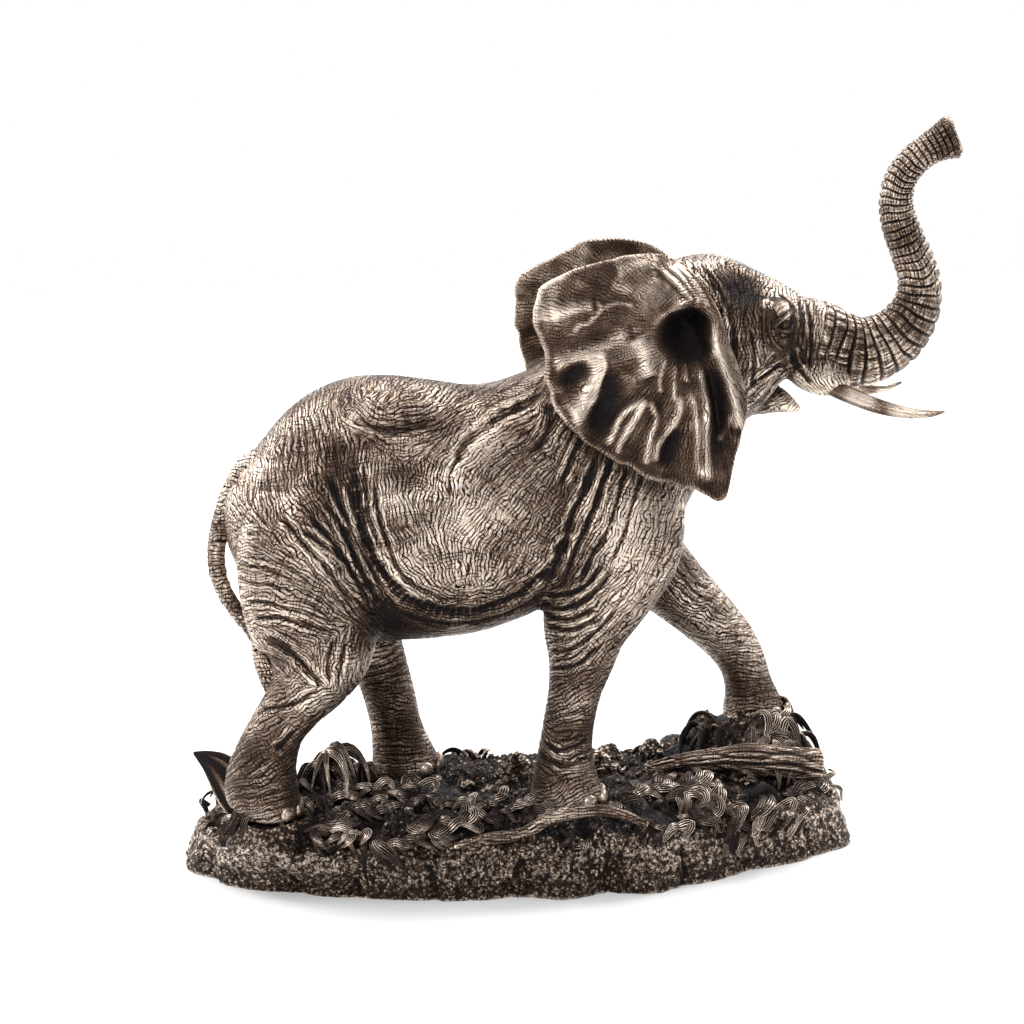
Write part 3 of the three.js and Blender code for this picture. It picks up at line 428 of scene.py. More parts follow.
def curve(rows, share):
    """The Catmull-Rom curve through rows of numbers: each column is a cubic between neighbouring rows."""
    rows = np.asarray(rows, float)
    place = np.clip(share, 0, 1 - 1e-9) * (len(rows) - 1)
    first = place.astype(int)
    f = (place - first)[..., None]
    a, b, c, d = (rows[np.clip(first + k, 0, len(rows) - 1)] for k in (-1, 0, 1, 2))
    return b + 0.5 * f * (c - a + f * (2 * a - 5 * b + 4 * c - d + f * (3 * (b - c) + d - a)))


def look_up(rows, value):
    """The curve through rows where their first column, which rises, has a given value."""
    keys = np.asarray(rows, float)[:, 0]
    after = np.clip(np.searchsorted(keys, value, side="right"), 1, len(keys) - 1)
    step = (value - keys[after - 1]) / (keys[after] - keys[after - 1])
    return curve(rows, (after - 1 + step) / (len(keys) - 1))


def lattice(place, seed):
    """A repeatable number from 0 to 1 for each whole-number place, by mixing its bits."""
    x, y, z = (place[..., k].astype(np.uint64) for k in range(3))
    h = x * np.uint64(374761393) + y * np.uint64(668265263) + z * np.uint64(2246822519)
    h = h + np.uint64(seed * 97 + 13)
    h = (h ^ (h >> np.uint64(13))) * np.uint64(1274126177)
    h = (h ^ (h >> np.uint64(15))) * np.uint64(2654435761)
    return ((h >> np.uint64(16)) & np.uint64(0xFFFF)).astype(float) / 65535.0


def noise(points, seed=0):
    """Soft noise from -1 to 1: the numbers at a cell's eight corners, blended by cubics."""
    cell = np.floor(points).astype(np.int64)
    f = points - cell
    f = f * f * (3 - 2 * f)
    total = 0.0
    for corner in range(8):
        step = np.array([corner & 1, corner >> 1 & 1, corner >> 2 & 1])
        weight = np.prod(np.where(step, f, 1 - f), axis=-1)
        total = total + weight * lattice(cell + step, seed)
    return 2 * total - 1


def rough(points, octaves=3, seed=0):
    """Noise added to itself at twice the detail and half the height, several times."""
    return sum(noise(points * 2 ** k, seed + k) / 2 ** k for k in range(octaves))


def pebbles(x, y, size, seed=0):
    """Round-topped cells: zero where the two nearest jittered middles are as far, and rising from there."""
    p = np.stack([x, y], -1) / size
    cell = np.floor(p).astype(np.int64)
    nearest = np.full(x.shape, 9.0)
    second = np.full(x.shape, 9.0)
    tall = np.zeros(x.shape)
    for dx in (-1, 0, 1):
        for dy in (-1, 0, 1):
            c = cell + (dx, dy)
            flat = np.concatenate([c, np.zeros_like(c[..., :1])], -1)
            jitter = np.stack([lattice(flat, seed), lattice(flat, seed + 1)], -1)
            d = np.linalg.norm(c + jitter - p, axis=-1)
            closer = d < nearest
            second = np.where(closer, nearest, np.minimum(second, d))
            tall = np.where(closer, lattice(flat, seed + 2), tall)
            nearest = np.where(closer, d, nearest)
    return smooth(0.0, 0.55, second - nearest) * (0.35 + 0.65 * tall)


def unit(vectors):
    """Each vector divided by its length."""
    return vectors / np.maximum(np.linalg.norm(vectors, axis=-1, keepdims=True), 1e-12)


# Surfaces


def ring_faces(rings, sides):
    """Four-sided faces between neighbouring rings of points."""
    i, j = np.meshgrid(np.arange(rings - 1), np.arange(sides), indexing="ij")
    k = (j + 1) % sides
    first, second = i * sides, (i + 1) * sides
    return np.stack([first + j, first + k, second + k, second + j], -1).reshape(-1, 4)


def closed(points):
    """A closed skin over rings of points (rings, sides, 3), with a fan of triangles over either end."""
    rings, sides = points.shape[:2]
    corners = np.concatenate([points.reshape(-1, 3), points[[0, -1]].mean(1)])
    quads = ring_faces(rings, sides)
    j = np.arange(sides)
    k = (j + 1) % sides
    middle = np.full(sides, rings * sides)
    end = (rings - 1) * sides
    fans = np.concatenate([
        np.stack([k, j, middle], -1), np.stack([end + j, end + k, middle + 1], -1)])
    return right_side_out(corners, quads, fans)


def right_side_out(corners, quads, triangles):
    """Turns every face round where the skin's volume comes out negative."""
    every = np.concatenate([quads[:, [0, 1, 2]], quads[:, [0, 2, 3]], triangles])
    a, b, c = (corners[every[:, k]] for k in range(3))
    if (a * np.cross(b, c)).sum() < 0:
        quads, triangles = quads[:, ::-1], triangles[:, ::-1]
    return corners, quads, triangles


def gather(skins):
    """Several skins as one."""
    corners, quads, triangles, start = [], [], [], 0
    for c, q, t in skins:
        corners.append(c)
        quads.append(q + start)
        triangles.append(t + start)
        start += len(c)
    return np.concatenate(corners), np.concatenate(quads), np.concatenate(triangles)


def limb(rows, rings, sides, relief=None, stands=False, span=(0.0, 1.0)):
    """Rings across a curved centre line: an oval turned to the line, swollen by relief(share, angle)."""
    share = np.linspace(span[0], span[1], rings)
    row = curve(rows, share)
    ahead, behind = (curve(rows, np.clip(share + step, 0, 1))[:, :3] for step in (0.01, -0.01))
    along = unit(ahead - behind)
    if stands:
        blend = smooth(0.7, 0.97, share)[:, None]
        along = unit(along * (1 - blend) + np.array([0, 0, -1.0]) * blend)
    side = unit(np.array([0, 1.0, 0]) - along * along[:, 1:2])
    front = np.cross(side, along)
    angle = np.linspace(0, TAU, sides, endpoint=False)
    swell = relief(share[:, None], angle[None, :]) if relief else 0.0
    fore = (row[:, 3:4] + swell) * np.cos(angle)
    across = (row[:, 4:5] + swell) * np.sin(angle)
    return row[:, None, :3] + front[:, None] * fore[..., None] + side[:, None] * across[..., None]


def egg(centre, radii, tilt=0.0, rings=16, sides=24):
    """An egg shape from circles of latitude, turned about the Y axis."""
    down = np.linspace(0.06, math.pi - 0.06, rings)[:, None]
    round_ = np.linspace(0, TAU, sides, endpoint=False)[None, :]
    p = np.stack(np.broadcast_arrays(
        np.sin(down) * np.cos(round_), np.sin(down) * np.sin(round_), np.cos(down)), -1) * radii
    c, s = math.cos(tilt), math.sin(tilt)
    turned = np.stack([p[..., 0] * c + p[..., 2] * s, p[..., 1], p[..., 2] * c - p[..., 0] * s], -1)
    return turned + centre


def face_sides(quads, triangles):
    """Every side of every face, as a pair of corners in the face's own order."""
    return np.concatenate([faces[:, [k, (k + 1) % faces.shape[1]]]
                           for faces in (quads, triangles) for k in range(faces.shape[1])])


def edges_of(quads, triangles):
    """Each edge once, as a pair of corners."""
    return np.unique(np.sort(face_sides(quads, triangles), axis=1), axis=0)


def spread(values, edges, steps):
    """Each corner's value goes halfway to the mean of its neighbours, a number of times."""
    values = np.array(values, float)
    flat = values.reshape(len(values), -1)
    a, b = edges[:, 0], edges[:, 1]
    count = np.maximum(np.bincount(a, minlength=len(flat)) + np.bincount(b, minlength=len(flat)), 1)
    for _ in range(steps):
        for column in range(flat.shape[1]):
            v = flat[:, column]
            total = np.bincount(a, v[b], len(v)) + np.bincount(b, v[a], len(v))
            flat[:, column] = 0.5 * v + 0.5 * total / count
    return flat.reshape(values.shape)


def normals_of(corners, quads, triangles):
    """The mean direction of the faces round each corner, by area."""
    total = np.zeros_like(corners)
    for faces, (p, q, r, s) in ((quads, (0, 2, 1, 3)), (triangles, (0, 1, 0, 2))):
        if not len(faces):
            continue
        place = corners[faces]
        across = np.cross(place[:, q] - place[:, p], place[:, s] - place[:, r])
        for k in range(faces.shape[1]):
            for axis in range(3):
                total[:, axis] += np.bincount(faces[:, k], across[:, axis], len(corners))
    return unit(total)


def worn_of(corners, quads, triangles, close=6, wide=50):
    """How rubbed each corner is, from 0 in a hollow to 1 on a ridge.

    It is how far the corner stands out of the skin smoothed a little and smoothed a lot.
    """
    edges = edges_of(quads, triangles)
    normals = normals_of(corners, quads, triangles)
    near = ((corners - spread(corners, edges, close)) * normals).sum(1)
    far = ((corners - spread(corners, edges, wide)) * normals).sum(1)
    return np.clip(0.5 + 1.3 * near + 0.16 * far, 0, 1)


def to_mesh(name, corners, quads, triangles):
    """A Blender mesh in metres from a skin in millimetres above the ground."""
    mesh = bpy.data.meshes.new(name)
    place = (corners + np.array([0, 0, LEVEL])) * MM
    mesh.vertices.add(len(place))
    mesh.vertices.foreach_set("co", place.astype(np.float32).ravel())
    loops = np.concatenate([quads.ravel(), triangles.ravel()]).astype(np.int32)
    mesh.loops.add(len(loops))
    mesh.loops.foreach_set("vertex_index", loops)
    starts = np.concatenate([
        np.arange(len(quads)) * 4, len(quads) * 4 + np.arange(len(triangles)) * 3]).astype(np.int32)
    mesh.polygons.add(len(starts))
    mesh.polygons.foreach_set("loop_start", starts)
    mesh.update(calc_edges=True)
    mesh.validate()
    mesh.shade_smooth()
    return mesh


def piece(name, node, skin, material, wear_and_painted_light=None, grain=None, normals=None):
    """A finished piece: its mesh, the attributes of its patina and painted light, the CAD node that it stands
    for and its body.
    """
    mesh = to_mesh(name, *skin)
    if wear_and_painted_light is None:
        wear_and_painted_light = worn_of(*skin)
    # Wear of the patina, with painted shade and highlights on the hide, ear hollow and eyes
    mesh.attributes.new("wear_and_painted_light", "FLOAT", "POINT").data.foreach_set("value", wear_and_painted_light.astype(np.float32))
    if grain is None:
        grain = np.broadcast_to([1.0, 0.0], (len(skin[0]), 2))
    # Where the hide faces the way that its grooves are counted in, they are counted sideways instead
    angle = np.arctan2(grain[:, 1], grain[:, 0]) / 2
    out = normals_of(*skin)
    facing = smooth(0.72, 0.93, np.abs(out[:, 2] * np.cos(angle) - out[:, 0] * np.sin(angle)))
    mesh.attributes.new("grain", "FLOAT_VECTOR", "POINT").data.foreach_set(
        "vector", np.column_stack([grain, facing]).astype(np.float32).ravel())
    if normals is not None:
        mesh.normals_split_custom_set_from_vertices(normals.astype(np.float32))
    made = bpy.data.objects.new(name, mesh)
    bpy.context.scene.collection.objects.link(made)
    mesh.materials.append(material)
    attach(made, "root")
    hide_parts(node)
    return made


def share_of(skin, zone, label, extras):
    """The faces whose first corner is in one zone, each open edge closed by a fan from its middle."""
    corners, quads, triangles = skin
    quads = quads[zone[quads[:, 0]] == label]
    triangles = triangles[zone[triangles[:, 0]] == label]
    used = np.unique(np.concatenate([quads.ravel(), triangles.ravel()]))
    new = np.zeros(len(corners), int)
    new[used] = np.arange(len(used))
    quads, triangles, count = new[quads], new[triangles], len(used)
    pairs = face_sides(quads, triangles)
    open_ = pairs[~np.isin(pairs[:, 1] * count + pairs[:, 0], pairs[:, 0] * count + pairs[:, 1])]
    place = corners[used]
    for side in (-1, 1):
        loop = open_[place[open_[:, 0], 0] * side > 0]
        if len(loop):
            fan = np.stack([loop[:, 1], loop[:, 0], np.full(len(loop), len(place))], -1)
            place = np.concatenate([place, [place[loop[:, 0]].mean(0)]])
            triangles = np.concatenate([triangles, fan])
    more = len(place) - count
    return (place, quads, triangles), [np.concatenate([extra[used], extra[used][:more]]) for extra in extras]


# Grain of the hide


def lean(angle):
    """An angle as a doubled direction, so that a line and the same line turned half round are alike."""
    return np.stack([np.cos(2 * angle), np.sin(2 * angle)], -1)


def hide_grain(x, z):
    """The doubled direction of the fine lines at a place: the mean of the strokes and folds near it."""
    marks = [(sx, sz, math.radians(angle), 12) for sx, sz, angle in STROKES]
    for _, _, _, _, line in FOLDS:
        path = curve(line, np.linspace(0.05, 0.95, 9))
        run = curve(line, np.linspace(0.1, 1.0, 9)) - curve(line, np.linspace(0.0, 0.9, 9))
        marks += [(*place, math.atan2(step[1], step[0]), 3) for place, step in zip(path, run)]
    total = 0.0
    for sx, sz, angle, reach in marks:
        total = total + lean(np.array(angle)) / ((x - sx) ** 2 + (z - sz) ** 2 + reach)[:, None] ** 2
    return total / np.linalg.norm(total, axis=1, keepdims=True)


def grain_height(points, grain, spacing, seed):
    """Rounded ridges between narrow grooves along the grain.

    A groove lies where the sine of the distance across the grain passes zero. The distance wanders with soft
    noise, twelve directions are weighed by how well the grain fits each, and patches of grooves fade out.
    """
    place = points + 2.6 * np.stack([noise(points / 13.0, seed + k) for k in range(3)], -1)
    place += 0.9 * np.stack([noise(points / 5.0, seed + 10 + k) for k in range(3)], -1)
    fit_total, total = 1e-6, 0.0
    for k in range(DIRECTIONS):
        angle = math.radians(180 // DIRECTIONS * k)
        fit = np.clip(grain @ lean(np.array(angle)), 0, 1) ** 20
        off = place @ np.array([-math.sin(angle), 0.25, math.cos(angle)]) / spacing
        groove = 1 - smooth(0.0, 0.62, np.abs(np.sin(math.pi * off)))
        fit_total = fit_total + fit
        total = total + fit * groove
    shown = 0.35 + 0.65 * smooth(-0.3, 0.25, noise(points / 7.0, seed + 20))
    return 1 - total / fit_total * shown


# Materials


class Wiring:
    """Short calls for making and joining shader nodes."""

    def __init__(self, name):
        self.material = bpy.data.materials.new(name)
        self.material.use_nodes = True
        self.tree = self.material.node_tree
        self.tree.nodes.clear()

    def node(self, kind, settings=(), **inputs):
        """A node of a kind. Inputs are given by name, or by i and their number, as a value or a socket."""
        made = self.tree.nodes.new("ShaderNode" + kind)
        for key, value in settings:
            setattr(made, key, value)
        for key, value in inputs.items():
            socket = made.inputs[int(key[1:])] if key[0] == "i" and key[1:].isdigit() else made.inputs[key]
            if isinstance(value, bpy.types.NodeSocket):
                self.tree.links.new(value, socket)
            else:
                socket.default_value = value
        return made

    def maths(self, operation, a, b=0.0):
        """One operation on two values or sockets."""
        return self.node("Math", (("operation", operation),), i0=a, i1=b).outputs[0]

    def about(self, value, middle, factor):
        """How far a value is from its middle, times a factor."""
        return self.maths("MULTIPLY", self.maths("SUBTRACT", value, middle), factor)

    def span(self, value, low, high, to_low=0.0, to_high=1.0):
        """A value carried from one range to another along a cubic."""
        made = self.node("MapRange", (("interpolation_type", "SMOOTHSTEP"),), i0=value, i1=low, i2=high,
                         i3=to_low, i4=to_high)
        return made.outputs[0]

    def relief(self, height, distance):
        """Shading as if the surface stood out by a height, which is counted in a distance in metres."""
        return self.node("Bump", Height=height, Strength=0.9, Distance=distance).outputs[0]

    def finish(self, colour, normal, gloss, metal, specular):
        """The finished material, from what its shader is given."""
        shader = self.node("BsdfPrincipled", Normal=normal, Roughness=gloss, Metallic=metal)
        shader.inputs["Specular IOR Level"].default_value = specular
        self.tree.links.new(colour, shader.inputs["Base Color"])
        self.node("OutputMaterial", Surface=shader.outputs[0])
        return self.material

    def mix(self, share, a, b):
        """One colour carried over to another."""
        made = self.node("Mix", (("data_type", "RGBA"),))
        for socket, value in ((made.inputs[0], share), (made.inputs[6], a), (made.inputs[7], b)):
            if isinstance(value, bpy.types.NodeSocket):
                self.tree.links.new(value, socket)
            elif socket == made.inputs[0]:
                socket.default_value = value
            else:
                socket.default_value = (*value, 1.0)
        return made.outputs[2]


def groove_lines(w, place, direction, spacing):
    """One in a groove and zero between: where the sine of the distance along a direction nears zero."""
    step = w.node("VectorMath", (("operation", "DOT_PRODUCT"),), i0=place,
                  i1=tuple(math.pi / spacing * d for d in direction)).outputs["Value"]
    return w.span(w.maths("ABSOLUTE", w.maths("SINE", step)), 0.0, 0.6, 1.0, 0.0)


def hide_bronze(name, colours, finish):
    """Bronze patina over wrinkled hide: dark in the grooves, rubbed bright on what stands out, with the
    painted shade and highlights that the mesh holds.

    Grooves run along the mesh's grain and, more faintly, across it. Each of twelve directions counts as far
    as the grain fits it, and soft noise bends the grooves and lets them fade.
    """
    spacing, depth, rub, lines, crossing = FINISHES[finish]
    w = Wiring(name)
    spot = w.node("TexCoord").outputs["Object"]
    warp = w.node("TexNoise", Vector=spot, Scale=100.0, Detail=2.0, Roughness=0.62)
    shift = w.node("VectorMath", (("operation", "SCALE"),), i0=warp.outputs[1])
    shift.inputs["Scale"].default_value = 0.0066
    place = w.node("VectorMath", (("operation", "ADD"),), i0=spot, i1=shift.outputs[0]).outputs[0]
    grain = w.node("Attribute", (("attribute_name", "grain"),)).outputs["Vector"]
    facing = w.node("SeparateXYZ", i0=grain).outputs[2]
    wear_and_painted_light = w.node("Attribute", (("attribute_name", "wear_and_painted_light"),)).outputs["Fac"]
    grooves, fits = [], []
    for k in range(DIRECTIONS):
        angle = math.radians(180 // DIRECTIONS * k)
        grooves.append(groove_lines(w, place, (-math.sin(angle), 0.25, math.cos(angle)), spacing))
        match = w.node("VectorMath", (("operation", "DOT_PRODUCT"),), i0=grain,
                       i1=(math.cos(2 * angle), math.sin(2 * angle), 0.0)).outputs["Value"]
        fits.append(w.maths("POWER", w.maths("MAXIMUM", match, 0.0), 20.0))
    along, across, total = 0.0, 0.0, 0.0001
    for k in range(DIRECTIONS):
        upright = fits[(k + DIRECTIONS // 2) % DIRECTIONS]
        along = w.maths("ADD", w.maths("MULTIPLY", grooves[k], fits[k]), along)
        across = w.maths("ADD", w.maths("MULTIPLY", grooves[k], upright), across)
        total = w.maths("ADD", fits[k], total)
    along = w.maths("DIVIDE", along, total)
    across = w.maths("DIVIDE", across, total)
    sideways = groove_lines(w, place, (0.2, 1.0, 0.3), spacing)
    along = w.maths("ADD", w.maths("MULTIPLY", along, w.maths("SUBTRACT", 1.0, facing)),
                    w.maths("MULTIPLY", sideways, facing))
    fade = w.span(w.node("TexNoise", Vector=spot, Scale=240.0, Detail=1.0).outputs[0], 0.36, 0.56, 0.3, 1.0)
    broken = w.span(w.node("TexNoise", Vector=spot, Scale=330.0, Detail=1.0).outputs[0], 0.42, 0.58)
    along = w.maths("MULTIPLY", along, fade)
    across = w.maths("MULTIPLY", across, broken)
    grit = w.node("TexNoise", Vector=spot, Scale=2300.0, Detail=2.0).outputs[0]
    patches = w.node("TexNoise", Vector=spot, Scale=60.0, Detail=3.0).outputs[0]
    cut = w.maths("ADD", w.maths("MULTIPLY", along, lines), w.maths("MULTIPLY", across, crossing))
    height = w.maths("SUBTRACT", w.maths("MULTIPLY", grit, 0.22), cut)
    normal = w.relief(height, 0.0008 * depth)
    # How much rubbed metal shows: the modelled relief with its painted shade and highlights, less the
    # grooves, with patches of stronger patina
    rubbed_and_painted_light = w.maths("ADD", w.maths("SUBTRACT", wear_and_painted_light, cut), 0.93 + rub)
    rubbed_and_painted_light = w.maths("ADD", rubbed_and_painted_light, w.about(patches, 0.5, 1.0))
    rubbed_and_painted_light = w.maths("ADD", rubbed_and_painted_light, w.about(grit, 0.5, 0.8))
    # The recess and rubbed colours serve for the painted shade and highlights too
    brown = w.mix(w.span(rubbed_and_painted_light, 0.8, 1.35), colours.recess_and_painted_shade, colours.bronze)
    colour = w.mix(w.span(rubbed_and_painted_light, 1.2, 1.86), brown, colours.rubbed_and_painted_light)
    gloss = w.span(rubbed_and_painted_light, 0.8, 1.7, 0.55, colours.roughness)
    metal = w.span(rubbed_and_painted_light, 0.7, 1.3, 0.5, 0.95)
    return w.finish(colour, normal, gloss, metal, 0.25)


def ground_bronze(name, colours):
    """Pitted bronze: gravel and grains with painted glints, worm-like ridges on the sides, and a darker
    patina on top.
    """
    w = Wiring(name)
    place = w.node("TexCoord").outputs["Object"]
    wear_and_painted_light = w.node("Attribute", (("attribute_name", "wear_and_painted_light"),)).outputs["Fac"]
    upper = w.node("SeparateXYZ", i0=place).outputs[2]
    pits = w.node("TexVoronoi", (("feature", "F1"),), Vector=place, Scale=640.0).outputs[0]
    grit = w.node("TexNoise", Vector=place, Scale=1900.0, Detail=3.0).outputs[0]
    lumps = w.node("TexNoise", Vector=place, Scale=300.0, Detail=3.0).outputs[0]
    # Worm-like ridges on the sides follow the level lines of soft noise
    level = w.node("TexNoise", Vector=place, Scale=330.0, Detail=1.5).outputs[0]
    worms = w.maths("ABSOLUTE", w.maths("SINE", w.maths("MULTIPLY", level, 24.0)))
    worms = w.maths("MULTIPLY", w.maths("SUBTRACT", worms, 0.6), w.span(upper, 0.018, 0.027, 1.0, 0.0))
    height = w.maths("ADD", w.maths("MULTIPLY", pits, -1.2), w.maths("MULTIPLY", grit, 0.5))
    height = w.maths("ADD", height, w.maths("ADD", lumps, w.maths("MULTIPLY", worms, 0.5)))
    normal = w.relief(height, 0.0015)
    rubbed_and_painted_light = w.maths("ADD", w.maths("MULTIPLY", wear_and_painted_light, 1.2), w.about(lumps, 0.5, 0.9))
    # Lighter grains and pebble tops: rubbed bronze and painted glints
    rubbed_and_painted_light = w.maths("ADD", rubbed_and_painted_light, w.about(grit, 0.5, 1.2))
    rubbed_and_painted_light = w.maths("ADD", rubbed_and_painted_light, w.maths("MULTIPLY", worms, 0.7))
    rubbed_and_painted_light = w.maths("ADD", rubbed_and_painted_light, w.about(pits, 0.4, -1.2))
    rubbed_and_painted_light = w.maths("SUBTRACT", rubbed_and_painted_light, w.span(upper, 0.016, 0.025, -0.28, 0.08))
    brown = w.mix(w.span(rubbed_and_painted_light, 0.35, 0.8), colours.recess_and_painted_shade, tuple(0.8 * c for c in colours.bronze))
    colour = w.mix(w.span(rubbed_and_painted_light, 0.78, 1.45), brown, tuple(0.85 * c for c in colours.rubbed_and_painted_light))
    gloss = w.span(rubbed_and_painted_light, 0.2, 1.0, 0.4, colours.roughness)
    metal = w.span(rubbed_and_painted_light, 0.2, 0.9, 0.2, 0.95)
    return w.finish(colour, normal, gloss, metal, 0.2)


# The elephant


def fused(skins, size):
    """Overlapping skins joined into one by a grid of small cells."""
    mesh = to_mesh("fused", *gather(skins))
    holder = bpy.data.objects.new("fused", mesh)
    bpy.context.scene.collection.objects.link(holder)
    remesh = holder.modifiers.new("join", "REMESH")
    remesh.mode = "VOXEL"
    remesh.voxel_size = size * MM
    bpy.context.view_layer.update()
    made = bpy.data.meshes.new_from_object(holder.evaluated_get(bpy.context.evaluated_depsgraph_get()))
    corners = np.empty(len(made.vertices) * 3, np.float32)
    made.vertices.foreach_get("co", corners)
    totals = np.empty(len(made.polygons), np.int32)
    made.polygons.foreach_get("loop_total", totals)
    loops = np.empty(len(made.loops), np.int32)
    made.loops.foreach_get("vertex_index", loops)
    starts = np.cumsum(totals) - totals
    quads = loops[starts[totals == 4][:, None] + np.arange(4)]
    triangles = loops[starts[totals == 3][:, None] + np.arange(3)]
    bpy.data.objects.remove(holder)
    bpy.data.meshes.remove(mesh)
    bpy.data.meshes.remove(made)
    corners = corners.reshape(-1, 3).astype(float) / MM - np.array([0, 0, LEVEL])
    return corners, quads, triangles


def body_rings(rings=110, sides=88):
    """Upright rings from rump to brow: two half ovals, which meet at the height where the ring is widest."""
    x, top, bottom, half, widest = curve(BODY, np.linspace(0, 1, rings)).T[..., None]
    angle = np.linspace(0, TAU, sides, endpoint=False)[None, :]
    out, up = np.cos(angle), np.sin(angle)
    reach = np.where(up > 0, top - widest, widest - bottom)
    return np.stack(np.broadcast_arrays(
        x, half * np.sign(out) * np.abs(out) ** 0.9, widest + reach * up), -1)


def elephant_skins():
    """Closed skins of the body, jaw, trunk's root, legs and swellings, which overlap."""
    root = limb(TRUNK, 40, 64, lambda share, angle: -1.3 * smooth(0.068, 0.084, share), span=(0.0, 0.15))
    skins = [closed(body_rings()), closed(limb(JAW, 24, 32)), closed(root)]
    skins += [closed(limb(rows, 60, 48, stands=True)) for rows in LEGS.values()]
    for side in (-1, 1):
        for x, y, z, a, b, c, tilt in SWELLINGS:
            skins.append(closed(egg((x, side * y, z), (a, b, c), tilt)))
    return skins


def hollow_share(x, z):
    """How far out of the ear's hollow a place is: zero at its middle and one at its edge."""
    across = (x - HOLLOW[0]) / np.where(x > HOLLOW[0], HOLLOW[2], HOLLOW[3])
    up = (z - HOLLOW[1]) / np.where(z > HOLLOW[1], HOLLOW[4], HOLLOW[5])
    return np.hypot(across, up)


def hollow_slope(x, z):
    """One behind and below the hollow, where its side slopes softly, and zero in front and above."""
    away = np.hypot(x - EAR_HUB[0], z - EAR_HUB[1])
    return smooth(-0.3, 0.8, (HOLLOW[0] - x + HOLLOW[1] - z) / np.maximum(1.4 * away, 4))


def near_line(points, line):
    """Distance in the side view from each point to a curve, and the share of the curve's length there."""
    share = np.linspace(0, 1, 64)
    path = curve(line, share)
    away = np.linalg.norm(points[:, None, :] - path[None], axis=-1)
    nearest = away.argmin(1)
    return away[np.arange(len(points)), nearest], share[nearest]


def line_relief(points, table):
    """Height of crests and troughs in the side view: a bell across each line, fading at its ends."""
    total = np.zeros(len(points))
    for rise, width, line in table:
        low, high = np.min(line, 0) - 3 * width, np.max(line, 0) + 3 * width
        picked = np.where(((points > low) & (points < high)).all(1))[0]
        away, share = near_line(points[picked], line)
        end = 0.16 if rise > 0 else 0.42
        fade = smooth(-0.02, end, share) * (1 - smooth(1 - end, 1.02, share))
        total[picked] += rise * fade * np.exp(-(away / width) ** 2)
    return total


def carve_hide(corners, normals, fold_share):
    """The height of the broad forms and deep folds: bells over the forms, and troughs with raised lips."""
    x, y, z = corners.T
    sideways = smooth(0.15, 0.6, np.abs(normals[:, 1]))
    height = np.zeros(len(x))
    for fx, fz, rx, rz, tilt, rise in FORMS:
        c, s = math.cos(math.radians(tilt)), math.sin(math.radians(tilt))
        u = ((x - fx) * c + (z - fz) * s) / rx
        v = ((z - fz) * c - (x - fx) * s) / rz
        height += rise * np.exp(-(u * u + v * v)) * sideways
    trough = np.zeros(len(x))
    for _, depth, width, side, line in FOLDS:
        low, high = np.min(line, 0) - 4 * width, np.max(line, 0) + 4 * width
        near = (x > low[0]) & (x < high[0]) & (z > low[1]) & (z < high[1])
        if side:
            near &= y * side > 0
        picked = np.where(near)[0]
        away, share = near_line(corners[picked][:, [0, 2]], line)
        width = 0.5 * width
        away = away + 0.6 * width * noise(corners[picked] / 4.0, 7)
        taper = smooth(0, 0.14, share) * (1 - smooth(0.84, 1, share))
        shape = -np.exp(-(away / width) ** 2) + 0.3 * np.exp(-((away - 2 * width) / width) ** 2)
        trough[picked] += 0.75 * depth * fold_share * taper * shape * sideways[picked]
    return height, trough


